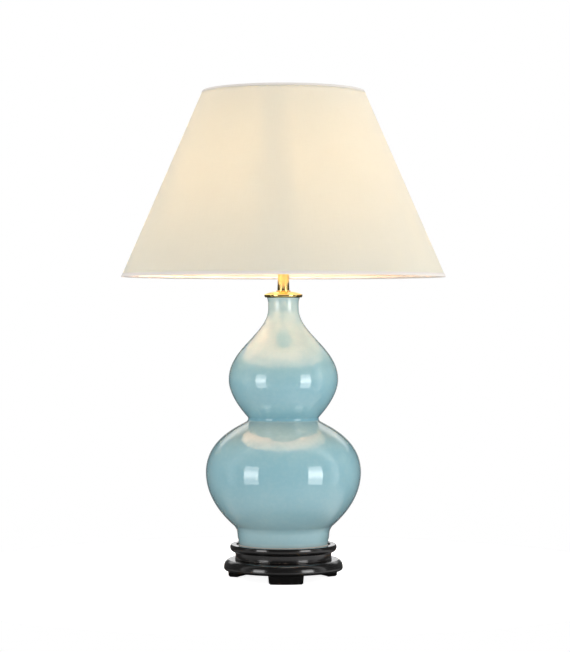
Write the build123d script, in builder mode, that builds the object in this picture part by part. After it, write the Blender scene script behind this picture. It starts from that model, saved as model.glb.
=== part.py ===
"""Table lamp: a glazed double gourd vase on a black wooden stand with three feet, with a
brass lampholder, a wire shade carrier and a lined empire shade.

Millimetres, +Z up. The origin is on the lamp's axis at the level of the table, and the
front of the lamp faces -Y. Angles round the axis are counted from the front towards +X.
"""

from build123d import *
from math import cos, radians, sin, sqrt
import os

os.makedirs("parts", exist_ok=True)

# ------------------------------------------------------------------ driving dimensions

# Clearances
fit_gap = 0.3            # between pieces that slide or turn on each other
thread_gap = 0.05        # between a screw or rod and its threaded hole, on radius
rod_hole_gap = 0.4       # round the rod where it only passes through

# Wooden stand, from the table up
pad_thickness = 1.2
pad_inset = 2.5
foot_turn = 3.0          # the front foot stands this many degrees round to the right
foot_width = 54.4
foot_outer_r = 89.0
foot_height = 12.3
foot_taper = 4.0
foot_corner_r = 2.0
foot_edge_r = 0.8
apron_foot_r = 89.0      # lower edge of the apron
apron_belly_r = 93.5
apron_belly_rise = 6.0   # the belly lies this far above the lower edge
apron_top_r = 86.8
apron_brow = 4.0         # drop of the shoulder's curve below the top edge
apron_height = 17.0
apron_bore_r = 70.0
ledge_bore_r = 58.0
ledge_thickness = 8.0
waist_r = 75.4
waist_height = 14.5
waist_bead = 0.9
waist_bead_height = 3.0
plate_r = 83.8
plate_thickness = 9.0
plate_upper_round = 1.0
plate_lower_round = 5.0
recess_depth = 2.5
recess_gap = 4.0         # bare ring of the recess round the vase's foot

# Wood screws of the stand
wood_screw_r = 1.7
wood_screw_head_r = 3.4
wood_screw_slot = 1.0
waist_screw_length = 19.0
apron_screw_length = 18.0
waist_screw_circle_r = 50.0
apron_screw_circle_r = 64.0
waist_screw_turn = 60.0   # the waist's screws stand between the apron's
apron_screw_turn = 0.0

# Cord inlet at the back of the apron
cord_hole_r = 3.2
cord_bush_wall = 0.9
cord_bush_flange_r = 5.6
cord_bush_flange = 1.4
cord_inlet_height = 21.5
cord_inlet_depth = 2.5   # the spot face lies this far inside the apron's belly

# Gourd vase, from its foot up
seat_ring_thickness = 1.0
vase_foot_r = 70.0
vase_foot_top_r = 73.4
vase_foot_height = 27.0
lower_bulb_r = 122.0
lower_belly_rise = 87.5
lower_shoulder_rise = 83.0
crease_r = 54.0
crease_round = 2.0
upper_bulb_r = 86.1
upper_belly_rise = 62.5
upper_shoulder_rise = 111.0
neck_r = 24.0
neck_height = 17.0
neck_lip = 1.8           # the rim spreads this far past the neck
neck_lip_height = 10.0
vase_wall = 5.0
crease_wall = 8.0
vase_floor = 8.0
foot_ring_width = 9.0
foot_ring_depth = 4.0
foot_lip_r = 1.5
base_hole_r = 8.0

# Fullness of the gourd's curves: lengths of the curve handles at each joint
lower_belly_pull = 51.5
foot_pull = 5.0
foot_slope = 50.0
lower_shoulder_pull = 57.5
crease_under_pull = 10.0
crease_under_slope = 45.0
upper_belly_pull = 29.0
crease_over_pull = 6.5
crease_over_slope = 53.0
upper_shoulder_pull = 50.0
neck_pull = 39.0

# Threaded rod and what clamps the lamp together
rod_r = 5.0
rod_bore_r = 3.8
rod_below_nut = 2.0
rod_in_holder = 10.0
nut_across_flats = 17.0
nut_height = 5.0
washer_r = 20.0
washer_thickness = 2.0
spring_washer_r = 9.0
spring_washer_thickness = 2.0
bush_flange = 2.0
bush_flange_r = 11.0

# Neck cap, boss and stem
gasket_thickness = 0.5
plug_depth = 12.0
plug_flange_r = 22.5
plug_flange = 4.0
cap_r = 30.0
cap_edge = 5.2           # height of the rolled edge
cap_roll = 1.7           # the rolled edge swells this far
cap_height = 9.3
cap_land_r = 11.6
cap_sheet = 1.2
cap_dome = 0.5           # how full the dome is, from its land to its edge
boss_r = 11.2
boss_height = 1.7
boss_round = 0.5
stem_r = 8.75
stem_wall = 1.0
stem_length = 36.0

# Lampholder, from the stem up
holder_sheet = 0.9
holder_boss_r = 9.2
holder_boss_height = 4.0
holder_cap_r = 19.4
holder_cap_rise = 12.0   # height of the cap's boss and shoulder
holder_cap_height = 20.0
holder_body_base = 14.0  # the body starts this far up, inside the cap
holder_flange_level = 44.0
holder_flange_r = 23.0
holder_flange = 1.5
holder_skirt_r = 20.0
holder_skirt_height = 23.0
lock_nut_across_flats = 14.0
lock_nut_height = 3.0
block_base = 16.0
bar_level = 28.0
bar_r = 2.0
bar_reach = 27.0         # each end of the push bar from its middle
bar_end_r = 3.0
bar_end_length = 3.0
bar_travel = 5.0
bar_hole_gap = 0.8
terminal_screw_r = 1.4
terminal_head_r = 2.4
terminal_head = 1.6
terminal_screw_length = 6.0
terminal_circle_r = 10.0
grub_screw_r = 1.5
grub_screw_level = 2.0
liner_lip = 1.0          # the liner stands this far above the skirt
shell_sheet = 0.5
shell_length = 24.0
contact_r = 3.5
contact_height = 2.0

# Bulb
bulb_length = 107.0
bulb_r = 30.0
bulb_wall = 0.8
bulb_cap_r = 13.1
bulb_cap_length = 21.0
bulb_cap_sheet = 0.5
bulb_neck_r = 13.4
bulb_neck_pull = 18.0    # fullness of the glass below its widest part
bulb_belly_pull = 28.0
insulator_height = 4.0
insulator_r = 7.0
tip_r = 4.8
tip_height = 1.5
stem_press_r = 4.5
stem_press_length = 30.0
filament_r = 2.6
filament_length = 26.0

# Shade carrier and its clamp ring
carrier_sheet = 1.2
carrier_base_r = 31.5
carrier_foot_r = 29.2    # circle on which the arms stand
carrier_arm_r = 1.5
carrier_arm_circle_r = 47.5
carrier_height = 203.0   # from the lampholder's flange to the seat of the shade
carrier_turn = -21.0
carrier_knee = 8.0       # straight stretch of an arm above the base ring
carrier_spread = 34.0    # height over which an arm spreads
carrier_bend_r = 14.0
carrier_ring_r = 51.0
carrier_ring_bore_r = 43.5
carrier_ring_sheet = 1.5
carrier_lip = 5.0
carrier_lip_sheet = 1.2
clamp_ring_r = 26.0
clamp_ring_height = 8.0
clamp_flute_r = 1.2
clamp_flutes = 24

# Shade: a cone 10 inches across at the top, 20 inches at the bottom, 12.5 inches on the slant
shade_top_r = 127.0
shade_bottom_r = 254.0
shade_slant = 317.5
shade_fabric_sheet = 0.6
shade_lining_sheet = 0.4
shade_wire_r = 1.75
shade_drop = 28.0        # the shade's top stands this far above its seat on the carrier
shade_wire_inset = 1.0   # the wire rings lie this far inside the shade's edges
seam_width = 10.0
trim_sheet = 0.4
top_trim_height = 3.0
bottom_trim_height = 4.5
fitter_ring_width = 8.0
fitter_ring_sheet = 1.5
fitter_arm_r = 1.5
fitter_turn = 0.0
fitter_flat = 12.0       # level stretch of an arm across its ring
fitter_bend_r = 10.0
arm_count = 3

# ------------------------------------------------------------------------ worked out

apron_base = pad_thickness + foot_height
apron_top = apron_base + apron_height
waist_top = apron_top + waist_height
plate_top = waist_top + plate_thickness
recess_floor = plate_top - recess_depth
vase_base = recess_floor + seat_ring_thickness
foot_top = vase_base + vase_foot_height
lower_belly = foot_top + lower_belly_rise
crease = lower_belly + lower_shoulder_rise
upper_belly = crease + upper_belly_rise
neck_base = upper_belly + upper_shoulder_rise
rim = neck_base + neck_height
cap_base = rim + gasket_thickness
cap_top = cap_base + cap_height
stem_base = cap_top + boss_height
holder_base = stem_base + stem_length
flange_top = holder_base + holder_flange_level + holder_flange
skirt_top = flange_top + holder_skirt_height
contact_top = flange_top + contact_height
bulb_cap_base = contact_top + tip_height + insulator_height
glass_base = bulb_cap_base + bulb_cap_length
bulb_top = contact_top + bulb_length
bulb_centre = bulb_top - bulb_r
filament_base = bulb_cap_base + stem_press_length
carrier_seat = flange_top + carrier_height
shade_top = carrier_seat + shade_drop
shade_height = sqrt(shade_slant**2 - (shade_bottom_r - shade_top_r) ** 2)
shade_base = shade_top - shade_height
shade_flare = (shade_bottom_r - shade_top_r) / shade_height
slant_factor = shade_slant / shade_height

screw_hole_r = wood_screw_r + thread_gap
screw_sink_r = wood_screw_head_r + thread_gap
cord_inlet_face = apron_belly_r - cord_inlet_depth
rod_hole_r = rod_r + rod_hole_gap
rod_thread_r = rod_r + thread_gap
neck_bore_r = neck_r - vase_wall
rod_nut_top = apron_top - washer_thickness - spring_washer_thickness
rod_bottom = rod_nut_top - nut_height - rod_below_nut
floor_top = vase_base + foot_ring_depth + vase_floor
recess_r = vase_foot_r + recess_gap
cap_bore_r = plug_flange_r + fit_gap
holder_cap_floor = holder_base + holder_boss_height + holder_sheet
holder_body_r = holder_cap_r - holder_sheet - thread_gap
holder_bore_r = holder_body_r - holder_sheet
bar_height = holder_base + bar_level
shell_bore_r = bulb_cap_r + fit_gap
liner_bore_r = shell_bore_r + shell_sheet + thread_gap
carrier_bore_r = holder_skirt_r + fit_gap
clamp_ring_base = flange_top + carrier_sheet
fitter_bore_r = carrier_ring_bore_r + carrier_lip_sheet + fit_gap
top_wire = shade_top - shade_wire_r - shade_wire_inset
bottom_wire = shade_base + shade_wire_r + shade_wire_inset
shade_skin = shade_fabric_sheet + shade_lining_sheet


def axis_angle(front_angle):
    """Turn an angle counted from the front into one counted from +X."""
    return front_angle - 90


def annulus(outer_r, inner_r):
    """Draw a flat ring on the sketch in hand."""
    Circle(outer_r)
    Circle(inner_r, mode=Mode.SUBTRACT)


def handle(point, slope, length, up):
    """Point reached from a curve's end along a slope in degrees, outwards and up or down."""
    return (point[0] + length * cos(radians(slope)), point[1] + up * length * sin(radians(slope)))


def gourd_side(inset, crease_inset, foot_end, neck_end):
    """Draw one side of the gourd from the foot's top to the neck, moved in by a wall."""
    low = (lower_bulb_r - inset, lower_belly)
    fold = (crease_r - crease_inset, crease)
    high = (upper_bulb_r - inset, upper_belly)
    Bezier(foot_end, handle(foot_end, foot_slope, foot_pull, 1), (low[0], low[1] - lower_belly_pull), low)
    Bezier(
        low,
        (low[0], low[1] + lower_shoulder_pull),
        handle(fold, crease_under_slope, crease_under_pull, -1),
        fold,
    )
    Bezier(
        fold,
        handle(fold, crease_over_slope, crease_over_pull, 1),
        (high[0], high[1] - upper_belly_pull),
        high,
    )
    Bezier(high, (high[0], high[1] + upper_shoulder_pull), (neck_end[0], neck_end[1] - neck_pull), neck_end)


def shade_r(height):
    """Outer radius of the shade's fabric at a height."""
    return shade_top_r + (shade_top - height) * shade_flare


def shade_layer(inner, outer, low, high):
    """Draw a layer of the shade between two depths from its outer face, measured square to it."""
    Polyline(
        (shade_r(low) - outer * slant_factor, low),
        (shade_r(low) - inner * slant_factor, low),
        (shade_r(high) - inner * slant_factor, high),
        (shade_r(high) - outer * slant_factor, high),
        close=True,
    )


def shade_wire_circle_r(height):
    """Radius of a wire ring that touches the lining at a height."""
    return shade_r(height) - (shade_skin + shade_wire_r) * slant_factor


def wood_screws(circle_r, base, length, first_angle):
    """Three countersunk wood screws that point up, with slots in their heads."""
    head = wood_screw_head_r - wood_screw_r
    with BuildPart() as screw:
        with BuildSketch(Plane.XZ):
            with BuildLine():
                Polyline(
                    (0, 0),
                    (wood_screw_head_r, 0),
                    (wood_screw_r, head),
                    (wood_screw_r, length - 2 * wood_screw_r),
                    (0, length),
                    close=True,
                )
            make_face()
        revolve(axis=Axis.Z)
        with BuildSketch():
            Rectangle(2 * wood_screw_head_r, wood_screw_slot)
        extrude(amount=wood_screw_slot, mode=Mode.SUBTRACT)
    with BuildPart() as screws:
        with Locations((0, 0, base)):
            with PolarLocations(circle_r, arm_count, start_angle=axis_angle(first_angle)):
                add(screw.part)
    return screws.part


def bent_wires(points, bend_r, wire_r, turn):
    """Three wires, each bent along the same points of the plane through the axis."""
    with BuildPart() as wire:
        with BuildLine(Plane.XZ) as route:
            FilletPolyline(*points, radius=bend_r)
        with BuildSketch(Plane(route.line @ 0, z_dir=route.line % 0)):
            Circle(wire_r)
        sweep(path=route.line)
    with BuildPart() as wires:
        with PolarLocations(0, arm_count, start_angle=axis_angle(turn)):
            add(wire.part)
    return wires.part


# ---------------------------------------------------------------------- wooden stand

# Felt pads, one under each foot
with BuildPart() as felt_pads:
    with BuildSketch():
        with PolarLocations(foot_outer_r / 2, arm_count, start_angle=axis_angle(foot_turn)):
            Rectangle(foot_outer_r, foot_width - 2 * pad_inset)
        Circle(foot_outer_r - pad_inset, mode=Mode.INTERSECT)
        Circle(apron_bore_r + pad_inset, mode=Mode.SUBTRACT)
    extrude(amount=pad_thickness)
felt_pads.part.label = "felt_pads"
export_step(felt_pads.part, "parts/felt_pads.step")

# Apron: a ring with a swelling outside, a ledge inside and three feet carved in one with it
with BuildPart() as stand_apron:
    with BuildSketch(Plane.XZ):
        with BuildLine():
            belly = (apron_belly_r, apron_base + apron_belly_rise)
            Polyline(
                (apron_top_r, apron_top),
                (ledge_bore_r, apron_top),
                (ledge_bore_r, apron_top - ledge_thickness),
                (apron_bore_r, apron_top - ledge_thickness),
                (apron_bore_r, apron_base),
                (apron_foot_r, apron_base),
            )
            Bezier((apron_foot_r, apron_base), (apron_belly_r, apron_base), belly)
            Bezier(belly, (apron_belly_r, apron_top - apron_brow), (apron_top_r, apron_top))
        make_face()
    revolve(axis=Axis.Z)
    with BuildSketch(Plane.XY.offset(apron_base)) as feet_plan:
        with PolarLocations(foot_outer_r / 2, arm_count, start_angle=axis_angle(foot_turn)):
            Rectangle(foot_outer_r + foot_width, foot_width)
        Circle(foot_outer_r, mode=Mode.INTERSECT)
        Circle(apron_bore_r, mode=Mode.SUBTRACT)
        fillet(feet_plan.vertices(), foot_corner_r)
    extrude(amount=-foot_height, taper=foot_taper)
    fillet(stand_apron.faces().sort_by(Axis.Z)[:arm_count].edges(), foot_edge_r)
    # spot face and hole for the cord bush
    with BuildSketch(Plane.XZ.offset(-cord_inlet_face)):
        with Locations((0, cord_inlet_height)):
            Circle(cord_bush_flange_r + fit_gap)
    extrude(amount=-apron_belly_r, mode=Mode.SUBTRACT)
    with BuildSketch(Plane.XZ.offset(-cord_inlet_face)):
        with Locations((0, cord_inlet_height)):
            Circle(cord_hole_r + cord_bush_wall + thread_gap)
    extrude(amount=cord_inlet_face / 2, mode=Mode.SUBTRACT)
    # countersunk holes for the screws up into the waist
    with Locations(Plane((0, 0, apron_top - ledge_thickness), z_dir=(0, 0, -1))):
        with PolarLocations(apron_screw_circle_r, arm_count, start_angle=axis_angle(apron_screw_turn)):
            CounterSinkHole(screw_hole_r, screw_sink_r, depth=ledge_thickness, counter_sink_angle=90)
stand_apron.part.label = "stand_apron"
export_step(stand_apron.part, "parts/stand_apron.step")

apron_screws = wood_screws(
    apron_screw_circle_r, apron_top - ledge_thickness, apron_screw_length, apron_screw_turn
)
apron_screws.label = "apron_screws"
export_step(apron_screws, "parts/apron_screws.step")

# Waist: a turned disc with a small bead at its foot
with BuildPart() as stand_waist:
    with BuildSketch(Plane.XZ):
        with BuildLine():
            ThreePointArc(
                (waist_r, apron_top),
                (waist_r + waist_bead, apron_top + waist_bead_height / 2),
                (waist_r, apron_top + waist_bead_height),
            )
            Polyline(
                (waist_r, apron_top + waist_bead_height),
                (waist_r, waist_top),
                (rod_hole_r, waist_top),
                (rod_hole_r, apron_top),
                (waist_r, apron_top),
            )
        make_face()
    revolve(axis=Axis.Z)
    with Locations(Plane((0, 0, apron_top), z_dir=(0, 0, -1))):
        with PolarLocations(waist_screw_circle_r, arm_count, start_angle=axis_angle(waist_screw_turn)):
            CounterSinkHole(screw_hole_r, screw_sink_r, depth=waist_height, counter_sink_angle=90)
        with PolarLocations(apron_screw_circle_r, arm_count, start_angle=axis_angle(apron_screw_turn)):
            Hole(screw_hole_r, depth=apron_screw_length - ledge_thickness + thread_gap)
stand_waist.part.label = "stand_waist"
export_step(stand_waist.part, "parts/stand_waist.step")

waist_screws = wood_screws(waist_screw_circle_r, apron_top, waist_screw_length, waist_screw_turn)
waist_screws.label = "waist_screws"
export_step(waist_screws, "parts/waist_screws.step")

# Top plate with a shallow recess for the vase's foot
with BuildPart() as stand_plate:
    with BuildSketch(Plane.XY.offset(waist_top)):
        annulus(plate_r, rod_hole_r)
    extrude(amount=plate_thickness)
    fillet(stand_plate.faces().sort_by(Axis.Z)[0].outer_wire().edges(), plate_lower_round)
    fillet(stand_plate.faces().sort_by(Axis.Z)[-1].outer_wire().edges(), plate_upper_round)
    with BuildSketch(Plane.XY.offset(recess_floor)):
        Circle(recess_r)
    extrude(amount=recess_depth, mode=Mode.SUBTRACT)
    with Locations(Plane((0, 0, waist_top), z_dir=(0, 0, -1))):
        with PolarLocations(waist_screw_circle_r, arm_count, start_angle=axis_angle(waist_screw_turn)):
            Hole(screw_hole_r, depth=waist_screw_length - waist_height + thread_gap)
stand_plate.part.label = "stand_plate"
export_step(stand_plate.part, "parts/stand_plate.step")

# Flanged bush that lines the cord's hole
with BuildPart() as cord_bush:
    with BuildSketch(Plane.XZ.offset(-cord_inlet_face)):
        with Locations((0, cord_inlet_height)):
            Circle(cord_bush_flange_r)
    extrude(amount=-cord_bush_flange)
    with BuildSketch(Plane.XZ.offset(-cord_inlet_face)):
        with Locations((0, cord_inlet_height)):
            Circle(cord_hole_r + cord_bush_wall)
    extrude(amount=cord_inlet_face - apron_bore_r)
    with BuildSketch(Plane.XZ.offset(-cord_inlet_face - cord_bush_flange)):
        with Locations((0, cord_inlet_height)):
            Circle(cord_hole_r)
    extrude(amount=cord_inlet_face, mode=Mode.SUBTRACT)
cord_bush.part.label = "cord_bush"
export_step(cord_bush.part, "parts/cord_bush.step")

# ------------------------------------------------------------------------ gourd vase

# Cork ring between the recess and the vase's foot
with BuildPart() as vase_seat_ring:
    with BuildSketch(Plane.XY.offset(recess_floor)):
        annulus(vase_foot_r - foot_lip_r, vase_foot_r - foot_ring_width)
    extrude(amount=seat_ring_thickness)
vase_seat_ring.part.label = "vase_seat_ring"
export_step(vase_seat_ring.part, "parts/vase_seat_ring.step")

# The vase: two bulbs that meet at a crease, hollow, with a foot ring and a hole in its floor
with BuildPart() as gourd_vase:
    with BuildSketch(Plane.XZ):
        with BuildLine():
            foot_end = (vase_foot_top_r, foot_top)
            neck_end = (neck_r, neck_base)
            inner_foot_end = (vase_foot_top_r - vase_wall, foot_top)
            inner_neck_end = (neck_bore_r, neck_base)
            lip_start = (neck_r, rim - neck_lip_height)
            lip_end = (neck_r + neck_lip, rim)
            gourd_side(0, 0, foot_end, neck_end)
            Line(neck_end, lip_start)
            Bezier(lip_start, (neck_r, rim - neck_lip_height / 2), lip_end)
            Polyline(lip_end, (neck_bore_r, rim), inner_neck_end)
            gourd_side(vase_wall, crease_wall, inner_foot_end, inner_neck_end)
            Polyline(
                inner_foot_end,
                (vase_foot_top_r - vase_wall, floor_top),
                (base_hole_r, floor_top),
                (base_hole_r, vase_base + foot_ring_depth),
                (vase_foot_r - foot_ring_width, vase_base + foot_ring_depth),
                (vase_foot_r - foot_ring_width, vase_base),
                (vase_foot_r, vase_base),
                foot_end,
            )
        make_face()
    revolve(axis=Axis.Z)
    crease_edges = gourd_vase.edges().filter_by(GeomType.CIRCLE).group_by(Axis.Z)
    crease_edge = [group for group in crease_edges if abs(group[0].center().Z - crease) < 1e-6][0]
    fillet(crease_edge.sort_by(SortBy.RADIUS)[-1], crease_round)
    fillet(gourd_vase.faces().sort_by(Axis.Z)[0].outer_wire().edges(), foot_lip_r)
gourd_vase.part.label = "gourd_vase"
export_step(gourd_vase.part, "parts/gourd_vase.step")

# Rubber bush in the hole of the vase's floor
with BuildPart() as base_hole_bush:
    with BuildSketch(Plane.XY.offset(vase_base + foot_ring_depth)):
        annulus(base_hole_r - thread_gap, rod_hole_r)
    extrude(amount=vase_floor)
    with BuildSketch(Plane.XY.offset(floor_top)):
        annulus(bush_flange_r, rod_hole_r)
    extrude(amount=bush_flange)
base_hole_bush.part.label = "base_hole_bush"
export_step(base_hole_bush.part, "parts/base_hole_bush.step")

# --------------------------------------------------------- rod and clamping hardware

with BuildPart() as threaded_rod:
    with BuildSketch(Plane.XY.offset(rod_bottom)):
        annulus(rod_r, rod_bore_r)
    extrude(amount=holder_base + rod_in_holder - rod_bottom)
threaded_rod.part.label = "threaded_rod"
export_step(threaded_rod.part, "parts/threaded_rod.step")

with BuildPart() as base_washer:
    with BuildSketch(Plane.XY.offset(apron_top - washer_thickness)):
        annulus(washer_r, rod_hole_r)
    extrude(amount=washer_thickness)
base_washer.part.label = "base_washer"
export_step(base_washer.part, "parts/base_washer.step")

with BuildPart() as spring_washer:
    with BuildSketch(Plane.XY.offset(rod_nut_top)):
        annulus(spring_washer_r, rod_hole_r)
        with Locations((spring_washer_r, 0)):
            Rectangle(2 * (spring_washer_r - rod_r), spring_washer_thickness / 2, mode=Mode.SUBTRACT)
    extrude(amount=spring_washer_thickness)
spring_washer.part.label = "spring_washer"
export_step(spring_washer.part, "parts/spring_washer.step")

with BuildPart() as rod_nut:
    with BuildSketch(Plane.XY.offset(rod_nut_top - nut_height)):
        RegularPolygon(nut_across_flats / 2, 6, major_radius=False)
        Circle(rod_thread_r, mode=Mode.SUBTRACT)
    extrude(amount=nut_height)
rod_nut.part.label = "rod_nut"
export_step(rod_nut.part, "parts/rod_nut.step")

# ------------------------------------------------------------------ neck cap and stem

# Plug that centres the cap and the rod in the neck
with BuildPart() as neck_plug:
    with BuildSketch(Plane.XY.offset(rim - plug_depth)):
        annulus(neck_bore_r - fit_gap, rod_hole_r)
    extrude(amount=plug_depth)
    with BuildSketch(Plane.XY.offset(rim)):
        annulus(plug_flange_r, rod_hole_r)
    extrude(amount=plug_flange)
neck_plug.part.label = "neck_plug"
export_step(neck_plug.part, "parts/neck_plug.step")

with BuildPart() as neck_gasket:
    with BuildSketch(Plane.XY.offset(rim)):
        annulus(neck_r + neck_lip, cap_bore_r)
    extrude(amount=gasket_thickness)
neck_gasket.part.label = "neck_gasket"
export_step(neck_gasket.part, "parts/neck_gasket.step")

# Spun brass cap: a low dome with a rolled edge
with BuildPart() as neck_cap:
    with BuildSketch(Plane.XZ):
        with BuildLine():
            edge_low = (cap_r - cap_roll, cap_base)
            edge_high = (cap_r - cap_roll, cap_base + cap_edge)
            dome_r = cap_land_r + (cap_r - cap_land_r) * cap_dome
            land_under = (cap_land_r, cap_top - cap_sheet)
            bore_top = (cap_bore_r, cap_base + cap_edge)
            ThreePointArc(edge_low, (cap_r, cap_base + cap_edge / 2), edge_high)
            Bezier(edge_high, (dome_r, cap_top), (cap_land_r, cap_top))
            Polyline(
                (cap_land_r, cap_top),
                (rod_hole_r, cap_top),
                (rod_hole_r, cap_top - cap_sheet),
                land_under,
            )
            Bezier(land_under, (dome_r - 2 * cap_sheet, cap_top - cap_sheet), bore_top)
            Polyline(bore_top, (cap_bore_r, cap_base), edge_low)
        make_face()
    revolve(axis=Axis.Z)
neck_cap.part.label = "neck_cap"
export_step(neck_cap.part, "parts/neck_cap.step")

with BuildPart() as cap_boss:
    with BuildSketch(Plane.XY.offset(cap_top)):
        annulus(boss_r, rod_hole_r)
    extrude(amount=boss_height)
    fillet(cap_boss.faces().sort_by(Axis.Z)[-1].outer_wire().edges(), boss_round)
cap_boss.part.label = "cap_boss"
export_step(cap_boss.part, "parts/cap_boss.step")

with BuildPart() as stem_tube:
    with BuildSketch(Plane.XY.offset(stem_base)):
        annulus(stem_r, stem_r - stem_wall)
    extrude(amount=stem_length)
stem_tube.part.label = "stem_tube"
export_step(stem_tube.part, "parts/stem_tube.step")

# ------------------------------------------------------------------------ lampholder

# Cap of the lampholder, screwed on the rod: a boss, a rounded shoulder and a skirt
with BuildPart() as holder_cap:
    with BuildSketch(Plane.XZ):
        with BuildLine():
            shoulder_low = (holder_boss_r, holder_base + holder_boss_height)
            shoulder_high = (holder_cap_r, holder_base + holder_cap_rise)
            inner_low = (holder_boss_r, holder_cap_floor)
            inner_high = (holder_cap_r - holder_sheet, holder_base + holder_cap_rise)
            Bezier(shoulder_low, (holder_cap_r, shoulder_low[1]), shoulder_high)
            Polyline(
                shoulder_high,
                (holder_cap_r, holder_base + holder_cap_height),
                (holder_cap_r - holder_sheet, holder_base + holder_cap_height),
                inner_high,
            )
            Bezier(inner_high, (inner_high[0], holder_cap_floor), inner_low)
            Polyline(
                inner_low,
                (rod_thread_r, holder_cap_floor),
                (rod_thread_r, holder_base),
                (holder_boss_r, holder_base),
                shoulder_low,
            )
        make_face()
    revolve(axis=Axis.Z)
    with BuildSketch(Plane.XZ):
        with Locations((0, holder_base + grub_screw_level)):
            Circle(grub_screw_r + thread_gap)
    extrude(amount=-holder_cap_r, mode=Mode.SUBTRACT)
holder_cap.part.label = "holder_cap"
export_step(holder_cap.part, "parts/holder_cap.step")

# Grub screw that locks the cap on the rod, at the back
with BuildPart() as grub_screw:
    with BuildSketch(Plane.XZ.offset(-rod_thread_r)):
        with Locations((0, holder_base + grub_screw_level)):
            Circle(grub_screw_r)
    extrude(amount=rod_thread_r - holder_boss_r)
grub_screw.part.label = "grub_screw"
export_step(grub_screw.part, "parts/grub_screw.step")

with BuildPart() as lock_nut:
    with BuildSketch(Plane.XY.offset(holder_cap_floor)):
        RegularPolygon(lock_nut_across_flats / 2, 6, major_radius=False)
        Circle(rod_thread_r, mode=Mode.SUBTRACT)
    extrude(amount=lock_nut_height)
lock_nut.part.label = "lock_nut"
export_step(lock_nut.part, "parts/lock_nut.step")

# Body: a tube with a flange for the carrier and a threaded skirt above it
with BuildPart() as holder_body:
    with BuildSketch(Plane.XZ):
        with BuildLine():
            Polyline(
                (holder_bore_r, holder_base + holder_body_base),
                (holder_body_r, holder_base + holder_body_base),
                (holder_body_r, flange_top - holder_flange),
                (holder_flange_r, flange_top - holder_flange),
                (holder_flange_r, flange_top),
                (holder_skirt_r, flange_top),
                (holder_skirt_r, skirt_top),
                (holder_skirt_r - holder_sheet, skirt_top),
                (holder_skirt_r - holder_sheet, flange_top),
                (holder_bore_r, flange_top),
                close=True,
            )
        make_face()
    revolve(axis=Axis.Z)
    with BuildSketch(Plane.YZ):
        with Locations((0, bar_height)):
            Circle(bar_r + bar_hole_gap)
    extrude(amount=holder_flange_r, both=True, mode=Mode.SUBTRACT)
holder_body.part.label = "holder_body"
export_step(holder_body.part, "parts/holder_body.step")

# Insulating block that holds the switch and the terminals
with BuildPart() as switch_block:
    with BuildSketch(Plane.XY.offset(holder_base + block_base)):
        Circle(holder_bore_r - fit_gap)
    extrude(amount=flange_top - holder_base - block_base)
    with BuildSketch(Plane.YZ):
        with Locations((0, bar_height)):
            Circle(bar_r + fit_gap)
    extrude(amount=holder_flange_r, both=True, mode=Mode.SUBTRACT)
    with Locations(Plane((0, 0, holder_base + block_base), z_dir=(0, 0, -1))):
        with PolarLocations(terminal_circle_r, 2, start_angle=90):
            Hole(terminal_screw_r + thread_gap, depth=terminal_screw_length + thread_gap)
switch_block.part.label = "switch_block"
export_step(switch_block.part, "parts/switch_block.step")

with BuildPart() as terminal_screws:
    with BuildSketch(Plane.XY.offset(holder_base + block_base)):
        with PolarLocations(terminal_circle_r, 2, start_angle=90):
            Circle(terminal_head_r)
    extrude(amount=-terminal_head)
    with BuildSketch(Plane.XY.offset(holder_base + block_base)):
        with PolarLocations(terminal_circle_r, 2, start_angle=90):
            Circle(terminal_screw_r)
    extrude(amount=terminal_screw_length)
terminal_screws.part.label = "terminal_screws"
export_step(terminal_screws.part, "parts/terminal_screws.step")

# Push bar of the switch, standing out to the right in its ON place
with BuildPart() as switch_bar:
    with BuildSketch(Plane.YZ.offset(bar_travel / 2)):
        with Locations((0, bar_height)):
            Circle(bar_r)
    extrude(amount=bar_reach - bar_end_length, both=True)
    with BuildSketch(
        Plane.YZ.offset(bar_travel / 2 + bar_reach - bar_end_length),
        Plane.YZ.offset(bar_travel / 2 - bar_reach),
    ):
        with Locations((0, bar_height)):
            Circle(bar_end_r)
    extrude(amount=bar_end_length)
switch_bar.part.label = "switch_bar"
export_step(switch_bar.part, "parts/switch_bar.step")

with BuildPart() as holder_liner:
    with BuildSketch(Plane.XY.offset(flange_top)):
        annulus(holder_skirt_r - holder_sheet - thread_gap, liner_bore_r)
    extrude(amount=holder_skirt_height + liner_lip)
holder_liner.part.label = "holder_liner"
export_step(holder_liner.part, "parts/holder_liner.step")

with BuildPart() as screw_shell:
    with BuildSketch(Plane.XY.offset(flange_top)):
        annulus(shell_bore_r + shell_sheet, shell_bore_r)
    extrude(amount=shell_length)
screw_shell.part.label = "screw_shell"
export_step(screw_shell.part, "parts/screw_shell.step")

with BuildPart() as centre_contact:
    with BuildSketch(Plane.XY.offset(flange_top)):
        Circle(contact_r)
    extrude(amount=contact_height)
centre_contact.part.label = "centre_contact"
export_step(centre_contact.part, "parts/centre_contact.step")

# ------------------------------------------------------------------------------ bulb

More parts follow.
